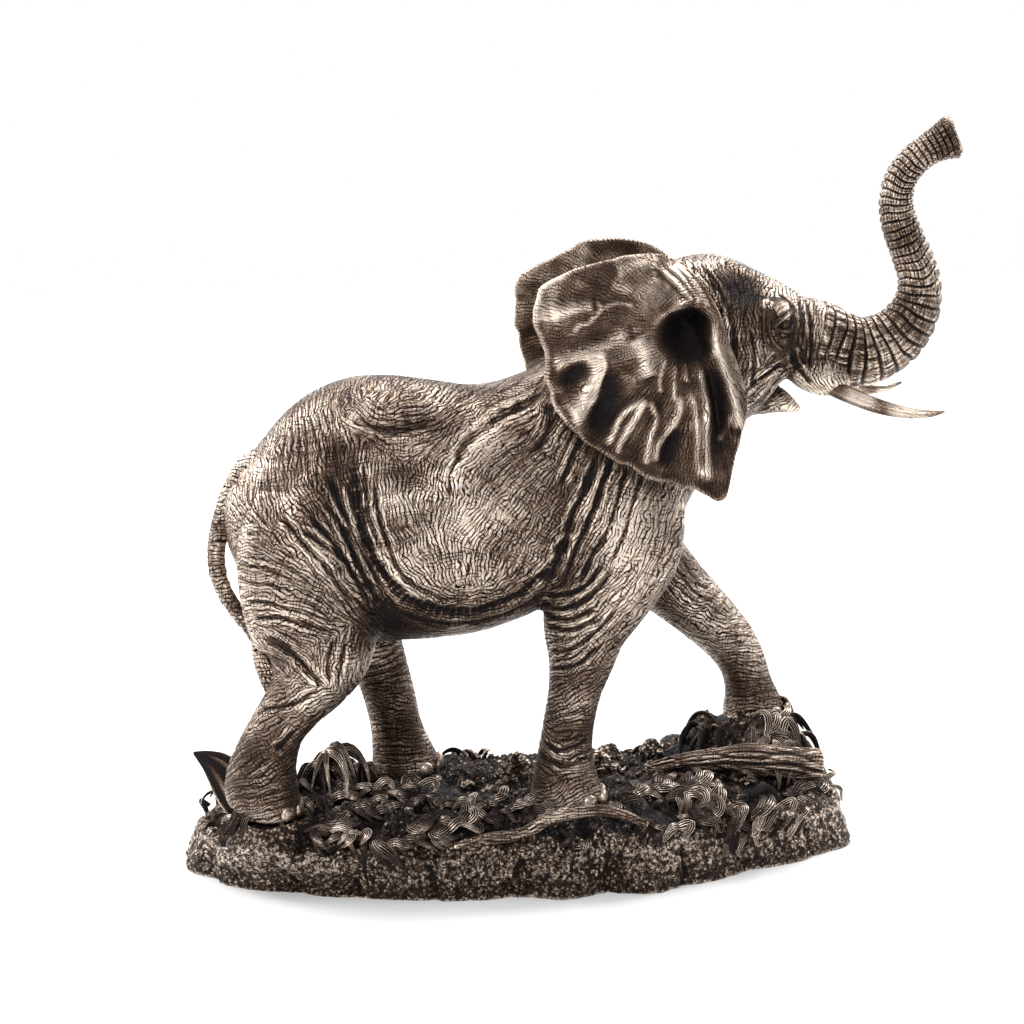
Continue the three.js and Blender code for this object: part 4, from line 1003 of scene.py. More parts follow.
def build_hide(settings, colours):
    """Body, legs, head and lips in one skin, then forms, folds and wrinkles along its normals."""
    corners, quads, triangles = fused(elephant_skins(), HIDE_CELL)
    edges = edges_of(quads, triangles)
    corners = spread(corners, edges, 2)
    x, y, z = corners.T
    mouth = smooth(84, 92, x) * (1 - smooth(164, 172, z)) * (1 - smooth(12, 20, np.abs(y)))
    for steps in (12, 48, 140):
        normals = normals_of(corners, quads, triangles)
        lift = ((spread(corners, edges, steps) - corners) * normals).sum(1).clip(0)
        feet = smooth(2, 10, corners[:, 2])
        corners = corners + normals * (lift * (1 - mouth) * feet)[:, None]
    # Room for the ear's hollow
    x, y, z = corners.T
    dip = 15 * (1 - smooth(0.7, 1.9, hollow_share(x, z))) * (np.abs(y) > 8)
    corners[:, 1] -= np.sign(y) * dip
    normals = normals_of(corners, quads, triangles)
    form, fold = carve_hide(corners, normals, settings.fold_depth)
    corners = corners + normals * (form + fold)[:, None]
    grain = hide_grain(corners[:, 0], corners[:, 2])
    ridges = grain_height(corners, grain, 3.3, 3) + 0.25 * grain_height(corners, -grain, 4.2, 31)
    loose = 0.75 + 0.5 * smooth(0.2, -0.6, noise(corners / 22.0, 5)) + 0.6 * smooth(0.0, -0.8, fold)
    flat_sole = smooth(0.4, 2.0, corners[:, 2])
    depth = settings.wrinkle_depth / MM
    normals = normals_of(corners, quads, triangles)
    corners = corners + normals * (depth * (ridges - 1.1) * loose * flat_sole)[:, None]
    wear_and_painted_light = worn_of(corners, quads, triangles, 9, 90)
    wear_and_painted_light = np.clip(wear_and_painted_light + 0.1 * fold.clip(-2, 0) + 0.03 * form, 0, 1)
    wear_and_painted_light = wear_and_painted_light - 0.2 * (1 - smooth(20, 70, corners[:, 2]))
    # Painted shade under ears, neck, belly and joints, and painted highlights on flank and head, with some
    # patina
    for x, z, wide, tall, amount in PAINTED_LIGHT_AND_PATINA:
        wear_and_painted_light = wear_and_painted_light + amount * np.exp(-((corners[:, 0] - x) / wide) ** 2 - ((corners[:, 2] - z) / tall) ** 2)
    normals = normals_of(corners, quads, triangles)
    skin, bronze = (corners, quads, triangles), hide_bronze("hide_bronze", colours, "hide")
    # The hide is three pieces that meet round the belly and the neck, with the same corners and normals there
    head = corners[:, 0] * NECK_SEAM[0] + corners[:, 2] * NECK_SEAM[1] > NECK_SEAM[2]
    zone = np.where(corners[:, 0] < BELLY_SEAM, 0, np.where(head, 2, 1))
    # Each piece's rub is its share of the wear with the painted shade and highlights
    for label, name in enumerate(("hindquarters", "forequarters", "head")):
        part, (rub, along, out) = share_of(skin, zone, label, (wear_and_painted_light, grain, normals))
        piece(name, "elephant", part, bronze, rub, along, out)
    build_eyes(corners, colours)


def build_trunk(settings, colours):
    """Rings round the trunk: bands with rounded backs between narrow grooves, closer towards the tip."""
    rings, sides = 430, 84
    share = np.linspace(0, 1, rings)
    centre = curve(TRUNK, share)[:, :3]
    length = np.concatenate([[0], np.cumsum(np.linalg.norm(np.diff(centre, axis=0), axis=1))])
    spacing = 5.6 - 3.3 * smooth(0, 0.95, length / length[-1])
    phase = np.concatenate([[0], np.cumsum(np.diff(length) / spacing[1:])])
    angle = np.linspace(0, TAU, sides, endpoint=False)
    around = np.stack(np.broadcast_arrays(
        length[:, None] / 9, 1.2 * np.cos(angle)[None], 1.2 * np.sin(angle)[None]), -1)
    wander = 0.32 * noise(around, 11) + 0.1 * np.sin(3 * angle)[None]
    band = smooth(0.0, 0.75, np.abs(np.sin(math.pi * (phase[:, None] + wander)))) ** 0.8
    fine = np.stack(np.broadcast_arrays(
        length[:, None] / 0.9, 3.2 * np.cos(angle)[None], 3.2 * np.sin(angle)[None]), -1)
    blocks = np.stack(np.broadcast_arrays(
        np.floor(phase[:, None] + wander) * 7.3, 7 * np.cos(angle)[None], 7 * np.sin(angle)[None]), -1)
    base = 1 - smooth(0.12, 0.36, share)[:, None]
    relief = settings.ring_depth / MM * (1 + 0.4 * base) * (band - 0.8) * (0.7 + 0.3 * noise(around * 0.7, 4))
    relief += 0.1 * noise(fine, 12)
    relief += (0.3 + 0.35 * base) * smooth(0, 0.45, np.abs(noise(blocks, 9))) * smooth(0.1, 0.5, band)
    start = smooth(0.066, 0.082, share)[:, None]
    relief = relief * start - 1.6 * (1 - start)
    points = limb(TRUNK, rings, sides, lambda s, a: relief)
    # The tip: a lip that turns in, an upper finger, and a hollow end
    tip = points[-1]
    middle = tip.mean(0)
    out = unit(centre[-1] - centre[-4])
    finger = smooth(0.2, 1.0, np.cos(angle - math.pi))[:, None]
    rims = []
    for step, (scale, forward) in enumerate(TRUNK_LIP):
        reach = forward + finger * 1.6 * max(0.0, 1 - step / 3)
        rims.append(middle + (tip - middle) * scale + out * reach)
    points = np.concatenate([points, np.array(rims)])
    skin = closed(points)
    run = np.repeat(np.arctan2(*np.gradient(centre[:, [2, 0]], axis=0).T), sides) + math.pi / 2
    run = np.concatenate([run, np.full(len(skin[0]) - len(run), run[-1])])
    wear_and_painted_light = worn_of(*skin, close=5, wide=30) - 0.1
    return piece("trunk", "elephant", skin, hide_bronze("trunk_bronze", colours, "trunk"),
                 wear_and_painted_light, lean(run - math.pi / 2))


def ear_skin(side):
    """A sheet about the hollow: reach and stand by direction, crests and troughs, a rolled rim and a cup."""
    columns, steps, inner_steps = 290, 66, 20
    share = np.linspace(0, 1, columns, endpoint=False)[None, :]
    degrees, reach, stand, rib = np.moveaxis(curve(EAR, share[0])[None], -1, 0)
    if side > 0:
        reach = reach - LEFT_EAR_TRIM * (1 - smooth(3, 22, np.abs(degrees - 160)))
    angle = np.radians(degrees)
    free = smooth(120, 160, degrees) * (1 - smooth(300, 318, degrees))
    wave = np.stack(np.broadcast_arrays(degrees / 4.5, 0.0 * degrees + side, 0.0 * degrees), -1)
    reach = reach + 1.0 * noise(wave, 3) * free

    def face(u, outer):
        """One side of the sheet at shares of its reach: stand, crests, veins, hollow and rim added up."""
        radius = 0.5 + (reach - 0.5) * u
        x, z = EAR_HUB[0] + radius * np.cos(angle), EAR_HUB[1] + radius * np.sin(angle)
        flat = np.stack([x, z], -1).reshape(-1, 2)
        crests = line_relief(flat, EAR_FOLDS).reshape(x.shape)
        place = np.stack([x, 0 * x + 40 * side, z], -1)
        cloth = 0.5 * rough(place / 9.0, 2, 14) + 0.5 * rib * smooth(0.15, 0.7, u)
        rays = np.stack(np.broadcast_arrays(degrees / 8.5, u * 2.0, 0.0 * u), -1)
        veins = 1 - 2 * np.abs(noise(rays, 21))
        cloth = cloth + 0.3 * veins * smooth(0.45, 0.9, u) * free
        depth = 24.5 + (stand - 24.5) * u + crests * (1.5 if outer else 1.1) + cloth
        e = hollow_share(x, z)
        soft = hollow_slope(x, z)
        depth = depth - 12 * (1 - smooth(0.25 * (1 - soft), 1.0 + 0.7 * soft, e))
        depth = depth + 0.9 * np.exp(-((e - 1.18) / 0.16) ** 2) * (1 - soft)
        if outer:
            depth = depth + 0.5 * np.exp(-(((1 - u) * reach) / 1.3) ** 2) * free
        half = (3.0 + (0.95 - 3.0) * u) * (1 if outer else -1)
        return x, depth + half, z

    u = np.linspace(0, 1, steps)[:, None]
    xo, yo, zo = face(u, True)
    xi, yi, zi = face(np.linspace(1, 0, inner_steps)[:, None], False)
    half, mid = (yo[-1] - yi[0]) / 2, (yo[-1] + yi[0]) / 2
    bend = np.linspace(0, math.pi, 7)[1:-1][:, None]
    beyond = reach + np.abs(half) * 0.9 * np.sin(bend)
    rim = np.stack([
        EAR_HUB[0] + beyond * np.cos(angle), side * (mid + half * np.cos(bend)),
        EAR_HUB[1] + beyond * np.sin(angle)], -1)
    outer = np.stack([xo, side * yo, zo], -1)
    inner = np.stack([xi, side * yi, zi], -1)
    return closed(np.concatenate([outer, rim, inner]))


def build_ear(side, colours):
    """An ear, bright on crests and dark in troughs, with lines round the hollow above and out of it below."""
    skin = ear_skin(side)
    x, _, z = skin[0].T
    around = np.arctan2(z - EAR_HUB[1], x - EAR_HUB[0])
    near = 1 - smooth(16, 30, np.hypot(x - EAR_HUB[0], z - EAR_HUB[1]))
    above = smooth(-0.5, 0.2, np.sin(around + 0.5))
    grain = lean(around) * (1 - 2 * near * above)[:, None]
    name = "right_ear" if side < 0 else "left_ear"
    crests = line_relief(np.stack([x, z], -1), EAR_FOLDS)
    wear_and_painted_light = 0.36 + 0.5 * (worn_of(*skin, close=7, wide=70) - 0.5) + 0.22 * crests.clip(-2.2, 1.8)
    rim = 0.3 * smooth(0.93, 1.0, np.hypot(x - EAR_HUB[0], z - EAR_HUB[1]) / 60) * (z > 190)
    e = hollow_share(x, z)
    # Darker in the ear's hollow: patina and painted shade
    wear_and_painted_light = wear_and_painted_light + rim - 0.75 * (1 - smooth(0.55, 1.1 + 0.6 * hollow_slope(x, z), e))
    return piece(name, "elephant", skin,
                 hide_bronze(name + "_bronze", colours, "ear"), wear_and_painted_light, grain)


def build_eyes(hide, colours):
    """The lids, brow and eyeball: a round sheet over the hide, at its height plus bells along the folds."""
    far = np.concatenate([np.linspace(0.01, 0.62, 60), np.linspace(0.63, 1, 20)])[:, None]
    sides = 150
    angle = np.linspace(0, TAU, sides, endpoint=False)[None, :]
    mx, mz, wide, tall = EYE_SHEET
    x = mx + (wide * far) * np.cos(angle)
    z = mz + (tall * far) * np.sin(angle)
    flat = np.stack([x, z], -1).reshape(-1, 2)
    relief = line_relief(flat, EYE_FOLDS).reshape(x.shape)
    # The opening between the lids is tilted, and the eyeball bulges in it
    c, s = math.cos(0.42), math.sin(0.42)
    u = ((x - EYE[0]) * c + (z - EYE[1]) * s) / 3.6
    v = ((z - EYE[1]) * c - (x - EYE[0]) * s) / 2.0
    inside = 1 - smooth(0.72, 1.0, np.hypot(u, v))
    ball = 0.3 - 1.2 * u * u - 0.5 * v * v + 0.3 * (1 - smooth(0.34, 0.5, np.hypot(u + 0.1, v * 0.6)))
    relief = relief * (1 - inside) + ball * inside
    skins, wear_and_painted_light = [], []
    for side in (-1, 1):
        # The hide's mean height in cells of 1 mm, spread over the cells that hold none
        left, low, columns, rows = EYE_CELLS
        near = hide[(hide[:, 1] * side > 8) & (hide[:, 0] > left) & (hide[:, 0] < left + columns)
                    & (hide[:, 2] > low) & (hide[:, 2] < low + rows)]
        place = np.stack([near[:, 0] - left, near[:, 2] - low], -1).astype(int)
        total = np.zeros((columns, rows))
        count = np.zeros((columns, rows))
        np.add.at(total, (place[:, 0], place[:, 1]), near[:, 1] * side)
        np.add.at(count, (place[:, 0], place[:, 1]), 1)
        for _ in range(3):
            total, count = (sum(
                np.roll(np.pad(part, 1, mode="edge"), shift, axis)[1:-1, 1:-1]
                for axis, shift in ((0, 1), (0, -1), (1, 1), (1, -1))) + 2 * part
                for part in (total, count))
        level = total / np.maximum(count, 1e-9)
        i, j = x - left - 0.5, z - low - 0.5
        i0, j0 = i.astype(int), j.astype(int)
        fi, fj = i - i0, j - j0
        base = (level[i0, j0] * (1 - fi) * (1 - fj) + level[i0 + 1, j0] * fi * (1 - fj)
                + level[i0, j0 + 1] * (1 - fi) * fj + level[i0 + 1, j0 + 1] * fi * fj)
        plates = noise(np.stack([x / 1.1, z / 3.4, 0 * x + side], -1), 40)
        skin_lines = 0.12 * smooth(0, 0.4, np.abs(plates)) * (1 - inside)
        high = base + 0.4 + relief + skin_lines - 2.4 * smooth(0.78, 1.0, far)
        front = np.stack([x, side * high, z], -1)
        back = np.stack([x, side * (base - 4.5), z], -1)[[-1, 50, 0]]
        skins.append(closed(np.concatenate([front, back])))
        # Lids and brow are rubbed where they stand out; the eyeball is dark with a painted highlight where it
        # bulges
        eye_rub_and_painted_glint = np.clip(0.12 + 0.22 * relief, -0.3, 0.5) * (1 - inside) + inside * (0.5 * ball.clip(0) - 0.1)
        wear_and_painted_light.append(np.concatenate([eye_rub_and_painted_glint.ravel(), np.full(3 * sides + 2, 0.4)]))
    skin = gather(skins)
    run = np.where(skin[0][:, 2] > 188, math.radians(25), math.radians(95))
    return piece("eyes", "elephant", skin, hide_bronze("eye_bronze", colours, "eye"),
                 np.concatenate(wear_and_painted_light), lean(run))


def build_tail(colours):
    """A wrinkled tail, and a tuft of hairs that lies on the thigh."""
    def relief(share, angle):
        """Plates with grooves between them, where noise passes zero."""
        p = np.stack(np.broadcast_arrays(share * 46, 1.5 * np.cos(angle), 1.5 * np.sin(angle)), -1)
        return 0.35 * (smooth(0, 0.5, np.abs(noise(p, 2))) - 0.7)
    skins = [closed(limb(TAIL, 150, 28, relief))]
    for k in range(HAIRS):
        aside = k / (HAIRS - 1) - 0.5
        bow = math.sin(2.1 * k)
        rows = [
            [-105.5, -16.5 + 2.5 * aside, 67, 1.1, 1.3],
            [-103.2 + 4 * aside, -20.5 - 1.2 * bow, 60, 1.4, 1.3],
            [-99.4 + 6.5 * aside, -25.5 - 1.0 * bow, 51.5, 1.2, 1.1],
            [-95.6 + 8.0 * aside + bow, -28.5, 43.5 + 1.5 * bow, 0.25, 0.25],
        ]
        skins.append(closed(limb(rows, 26, 8)))
    return piece("tail", "elephant", gather(skins),
                 hide_bronze("tail_bronze", colours, "tail"))


def build_nails(colours):
    """Toe nails: four eggs round the front of each foot, with their lower halves made shorter."""
    skins = []
    for rows in LEGS.values():
        x, y, z, fore, across = rows[-1]
        fore, across = fore + 0.9, across + 0.9
        for degrees in TOES:
            a = math.radians(degrees)
            turn = Matrix.Rotation(a, 3, "Z")
            p = egg((0, 0, 0), (1.6, 3.0, 3.2), 0, 16, 24)
            p[..., 2] = np.where(p[..., 2] < 0, p[..., 2] * 0.75, p[..., 2])
            p = p @ np.array(turn).T + (x + fore * math.cos(a), y + across * math.sin(a), z + 3.2)
            skins.append(closed(p))
    return piece("toe_nails", "elephant", gather(skins),
                 hide_bronze("nail_bronze", colours, "nail"))


def build_tusk(side, colours):
    """A tusk: round across, tapering along a bowed line, with faint lengthwise grain."""
    def relief(share, angle):
        """Soft noise, long and narrow."""
        p = np.stack(np.broadcast_arrays(share * 3, 2.5 * np.cos(angle), 2.5 * np.sin(angle)), -1)
        return 0.07 * noise(p, 6)
    rows = [[x, -side * y, z, a, b] for x, y, z, a, b in TUSK]
    points = limb(rows, 100, 32, relief)
    name = "right_tusk" if side < 0 else "left_tusk"
    skin = closed(points)
    wear_and_painted_light = 0.5 + 0.3 * noise(skin[0] / 5, 4) + 0.25 * smooth(112, 150, skin[0][:, 0])
    return piece(name + "_bronze", name, skin,
                 hide_bronze(name + "_finish", colours, "tusk"), wear_and_painted_light, lean(np.full(len(skin[0]), -0.2)))


# The ground


def foot_prints():
    """Middle, height and radius of the print under each sole."""
    return {leg: (*rows[-1][:3], rows[-1][3] + 3.6) for leg, rows in LEGS.items()}


def ground_height(x, y):
    """The top of the ground: ripples, a rise under the left forefoot, a fall at the edge, level prints."""
    ripple = np.sin(x / 7.3 + 1.3 * np.sin(y / 9.1)) * np.cos(y / 6.4 - 0.8 * np.sin(x / 11.7))
    prints = foot_prints()
    sx, sy, sz, _ = prints["left_foreleg"]
    rise = sz * (1 - smooth(15, 34, np.hypot((x - sx) * 0.8, y - sy)))
    direction = np.degrees(np.arctan2(y, x)) % 360
    edge = smooth(0.7, 1, np.hypot(x, y) / look_up(GROUND, direction.ravel())[:, 2].reshape(x.shape))
    level = rise + 1.5 * ripple - 8 * edge
    for fx, fy, fz, radius in prints.values():
        away = np.hypot(x - fx, y - fy)
        near = 1 - smooth(radius * 0.8, radius * 1.4, away)
        level = level * (1 - near) + fz * near
    return level


def print_share(x, y):
    """One inside a foot's print and zero away from it."""
    share = np.zeros(np.shape(x))
    for fx, fy, _, radius in foot_prints().values():
        share = np.maximum(share, 1 - smooth(radius - 3.2, radius - 0.6, np.hypot(x - fx, y - fy)))
    return share


def build_ground(settings, colours):
    """A square grid pressed into the ground's outline for the top, then rings down the side and underside."""
    across, deep, rows = 232, 152, 24
    a, b = np.meshgrid(np.linspace(-1, 1, across), np.linspace(-1, 1, deep), indexing="ij")
    far = np.maximum(np.abs(a), np.abs(b))
    wide = np.abs(a) >= np.abs(b)
    turn = np.where(wide, b / np.where(wide, np.where(a == 0, 1, a), 1) * math.pi / 4,
                    math.pi / 2 - a / np.where(wide, 1, b) * math.pi / 4)
    turn = turn + np.where(wide, a < 0, b < 0) * math.pi
    turn = np.where(far == 0, 0, turn)
    # Even steps along the outline in place of even angles
    turn = np.arctan2(np.sin(turn) * HALF_WIDTH, np.cos(turn) * HALF_LENGTH) % TAU
    reach = look_up(GROUND, np.degrees(turn).ravel())[:, 2].reshape(turn.shape)
    x, y = far * reach * np.cos(turn), far * reach * np.sin(turn)
    top = ground_height(x, y)
    size = settings.pebble_size / MM
    field = rough(np.stack([x / 11, y / 11, np.zeros_like(x)], -1), 3, 30)
    gravel = smooth(-0.35, 0.25, field + 0.35 * smooth(-40, 10, y) - 0.2)
    stony = 2.3 * pebbles(x, y, size, 3) + 1.0 * pebbles(x, y, size * 0.55, 9)
    turf = rough(np.stack([x / 4, y / 4, np.zeros_like(x)], -1), 4, 40)
    free = (1 - print_share(x, y)) * (1 - smooth(0.96, 1.0, far))
    bumps = gravel * stony + (1 - gravel) * 1.2 * turf + 1.3 * field
    shoulder = np.clip((far - 0.86) / 0.14, 0, 1)
    top = top + bumps * free - 0.35 * print_share(x, y) - 0.3 * (1 - free) - 3.5 * shoulder ** 2
    # The outline's corners of the grid, in order round the edge
    loop = np.concatenate([
        [(across - 1, j) for j in range(deep)], [(i, deep - 1) for i in range(across - 2, -1, -1)],
        [(0, j) for j in range(deep - 2, -1, -1)], [(i, 0) for i in range(1, across - 1)]])
    edge = loop[:, 0] * deep + loop[:, 1]
    grid = np.stack([x, y, top], -1).reshape(-1, 3)
    i, j = np.meshgrid(np.arange(across - 1), np.arange(deep - 1), indexing="ij")
    first = i * deep + j
    quads = np.stack([first, first + deep, first + deep + 1, first + 1], -1).reshape(-1, 4)
    # The side: the outline swells by lobes with creases between them, and is pitted all over
    direction = turn.reshape(-1)[edge]
    _, low, high = look_up(GROUND, np.degrees(direction)).T
    down = np.linspace(0, 1, rows + 1)[1:][:, None]
    start = grid[edge][:, 2]
    z = start + (-LEVEL - start) * down
    share = smooth(0.1, 0.85, down)
    reach = high + (low - high) * share
    walk = np.linalg.norm(np.diff(grid[edge][:, :2], axis=0, append=grid[edge][:1, :2]), axis=1)
    arc = np.cumsum(walk) * (round(walk.sum() / LOBE) * math.pi / walk.sum())
    crease = np.abs(np.sin(arc + 0.5 * noise(np.stack(np.broadcast_arrays(
        direction[None] * 6, down * 1.5, 0 * direction[None] * down), -1), 5)))
    belly = np.sin(math.pi / 2 * np.clip(down / 0.5, 0, 1))
    place = np.stack(np.broadcast_arrays(
        reach * np.cos(direction), reach * np.sin(direction), z), -1)
    lumps = rough(place / 7.5, 3, 60)
    pits = rough(place / 2.1, 2, 70)
    swell = 4.2 * (crease ** 0.6 - 0.8) * belly + 1.1 * lumps * belly + 0.6 * pits * belly
    toe = -0.4 * smooth(0.98, 1.0, down)
    reach = reach + swell + toe + 1.4 * belly
    side = np.stack([reach * np.cos(direction), reach * np.sin(direction), z], -1)
    count = len(edge)
    ids = np.concatenate([edge[None], len(grid) + np.arange(rows * count).reshape(rows, count)])
    nxt = np.roll(ids, -1, axis=1)
    walls = np.stack([ids[:-1], ids[1:], nxt[1:], nxt[:-1]], -1).reshape(-1, 4)
    corners = np.concatenate([grid, side.reshape(-1, 3), [[0, 0, -LEVEL]]])
    last = ids[-1]
    fan = np.stack([last, np.full(count, len(corners) - 1), np.roll(last, -1)], -1)
    skin = right_side_out(corners, np.concatenate([quads, walls]), fan)
    wear_and_painted_light = worn_of(*skin, close=5, wide=40)
    # The patina is even along the upper edge and above the foot, which is rubbed in a thin line only
    x, y, height = corners.T
    bearing = np.degrees(np.arctan2(y, x)) % 360
    inner = np.hypot(x, y) / look_up(GROUND, bearing)[:, 2] < 0.9
    wear_and_painted_light = np.where(height < -6, np.minimum(wear_and_painted_light, 0.74), wear_and_painted_light) - 0.25 * (height > -6) * inner
    wear_and_painted_light = wear_and_painted_light - 0.4 * smooth(-18, -26, height) * (height > -27.3) * (wear_and_painted_light > 0.5)
    bronze = ground_bronze("ground_bronze", colours)
    return piece("ground", "ground_base", skin, bronze, wear_and_painted_light)


def build_wood(colours):
    """The log, with bark in long plates and a broken end, and the branch along the front edge."""
    def bark(seed, size, depth):
        """Relief of long plates between grooves where noise passes zero, with shorter noise over them."""
        def relief(share, angle):
            """Plates and the grain over them, from places along the wood and round it."""
            x, y, z = np.broadcast_arrays(share * size, np.cos(angle), np.sin(angle))
            plates = noise(np.stack([0.5 * x, 3.4 * y, 3.4 * z], -1), seed)
            grain = noise(np.stack([1.4 * x, 7 * y, 7 * z], -1), seed + 1)
            return depth * (smooth(0, 0.4, np.abs(plates)) - 0.6) + 0.35 * depth * grain
        return relief
    log = limb(LOG, 130, 60, bark(4, 9, 0.8))
    end = log[0]
    middle = end.mean(0)
    broken = ((0.15, 0.6), (0.4, -0.3), (0.62, 0.5), (0.86, 0.1))
    rings = [middle + (end - middle) * share + (jut, 0, 0) for share, jut in broken]
    log = np.concatenate([np.array(rings), log])
    branch = limb(BRANCH, 120, 28, bark(14, 16, 0.4))
    twigs = [
        [[-20, -51, -5, 1.3, 1.3], [-24, -54, -6.5, 1.1, 1.1], [-28, -56, -9.5, 0.7, 0.7]],
        [[6, -50, 2, 1.5, 1.5], [8, -52, 4.6, 1.2, 1.2], [10, -53, 5.6, 0.9, 0.9]],
    ]
    skins = [closed(log), closed(branch)] + [closed(limb(rows, 20, 14)) for rows in twigs]
    return piece("wood", "ground_base", gather(skins),
                 hide_bronze("wood_bronze", colours, "wood"))


def build_growth(colours):
    """Locks of grass and leaves: ribbed ribbons that rise from a root, bow over and curl on the slope.

    A lock's flat side looks up and outwards. It is widest near its middle and ends in a point. Its section
    has four ribs, rubbed bright, with dark grooves between them.
    """
    steps = 12
    t = np.linspace(0, 1, steps)
    light = np.concatenate([np.tile([rub for _, _, rub in LOCK], steps), [0.3, 0.3]])
    skins, lights = [], []
    for index, (x, y, heading, blades, length, rise, curl) in enumerate(CLUMPS):
        blades = round(0.8 * blades)
        k = np.arange(blades)
        seedling = np.stack([k, np.full(blades, index), np.zeros(blades)], -1)
        one, two, three = (lattice(seedling.astype(np.int64), s) for s in (1, 2, 3))
        aim = np.radians(heading + (k / max(blades - 1, 1) - 0.5) * 80 + 60 * (one - 0.5))[:, None]
        reach = (length * (0.45 + 0.5 * two))[:, None]
        bend = curl * (0.3 + 1.2 * three)[:, None] * t[None] ** 1.4 * 1.7
        direction = aim + bend + 0.5 * np.sin(6 * t + 6 * one[:, None])
        ahead = reach / (steps - 1)
        root = np.stack([x + 12 * (three - 0.5), y + 8 * (two - 0.5)], -1)
        px = root[:, :1] + np.cumsum(np.cos(direction) * ahead, 1)
        py = root[:, 1:] + np.cumsum(np.sin(direction) * ahead, 1)
        bearing = np.degrees(np.arctan2(py, px)) % 360
        limit = look_up(GROUND, bearing.ravel())[:, 2].reshape(px.shape) + 1.2
        out = np.hypot(px, py)
        over = np.maximum(out - limit, 0)
        px, py = px * np.minimum(1, limit / out), py * np.minimum(1, limit / out)
        under = ground_height(px, py) - 1.35 * over
        lift = (rise * (0.3 + 0.55 * three))[:, None] * np.sin(math.pi * np.minimum(t * 0.9, 1)) ** 1.1
        pz = np.maximum(under + 0.3 + lift, 4 - LEVEL)
        path = np.stack([px, py, pz], -1)
        along = unit(np.gradient(path, axis=1) + 1e-6)
        outward = np.array([0.35 * x / 130, -1.0 if y < 12 else 1.0, 0.75])
        flat = unit(np.cross(along, outward))
        up = np.cross(flat, along)
        full = (1.0 + 0.9 * one)[:, None]
        wide = full * np.sin(math.pi * (0.16 + 0.82 * t)) ** 0.8 + 0.1
        thick = (1 - 0.6 * t)[None] + 0.1
        rings = np.stack([
            path + flat * (u * wide)[..., None] + up * (v * thick)[..., None] for u, v, _ in LOCK], 2)
        skins += [closed(ring) for ring in rings]
        lights += [light + 0.5 * (tone - 0.6) for tone in three]

    def rib(share, angle):
        """Ribs along a leaf, which die out at its ends."""
        return 0.75 * np.abs(np.sin(4 * angle + 0.6 * np.sin(5 * share))) * np.sin(math.pi * share) ** 0.6
    share, angle = np.linspace(0, 1, 44)[:, None], np.linspace(0, TAU, 40, endpoint=False)[None]
    for rows in LEAVES:
        skins.append(closed(limb(rows, 44, 40, rib)))
        lights.append(np.concatenate([(1.5 * rib(share, angle) - 0.5).ravel(), [0, 0]]))
    skin = gather(skins)
    wear_and_painted_light = worn_of(*skin, close=2, wide=12) - 0.1 + 1.5 * np.concatenate(lights)
    return piece("growth", "ground_base", skin,
                 hide_bronze("growth_bronze", colours, "growth"), wear_and_painted_light)


def build_stones(colours):
    """Stones reach as far in each direction as the nearest of their flat sides. Pebbles are dented balls."""
    skins = []
    sides = np.arange(13)
    for index, (x, y, half, height) in enumerate(STONES):
        p = egg((0, 0, 0), (1, 1, 1), 0, 24, 30)
        spot = np.stack([sides, 0 * sides + index, 0 * sides], -1)
        flats = unit(np.stack([lattice(spot, s) - 0.5 for s in (21, 22, 23)], -1))
        away = (0.68 + 0.3 * lattice(spot, 24)) / (p @ flats.T).clip(0.15)
        reach = away.min(-1).clip(0, 1.2) + 0.05 * noise(p * 5 + index, 4) + 0.03 * noise(p * 11 + index, 5)
        p = p * reach[..., None] * (half, half * 0.8, height * 0.68)
        base = float(ground_height(np.array([x * 1.0]), np.array([y * 1.0]))[0])
        skins.append(closed(p + (x, y, base + 0.1 * height)))
    k = np.arange(PEBBLES)
    spot = np.stack([k, 0 * k, 0 * k], -1)
    x = -100 + 200 * lattice(spot, 5)
    y = -44 + 86 * lattice(spot, 6)
    size = 0.9 + 1.9 * lattice(spot, 7) ** 3
    keep = (print_share(x, y) < 0.05) & (np.hypot(x / 118, y / 50) < 0.93)
    ball = egg((0, 0, 0), (1, 1, 1), 0, 6, 8)
    for px, py, s, n in zip(x[keep], y[keep], size[keep], k[keep]):
        p = ball * (1 + 0.3 * noise(ball * 1.7 + n, 8))[..., None] * (s, s * 0.8, s * 0.7)
        level = float(ground_height(np.array([px]), np.array([py]))[0])
        skins.append(closed(p + (px, py, level + 1.0)))
    return piece("stones", "ground_base", gather(skins),
                 ground_bronze("stone_bronze", colours))


# The studio


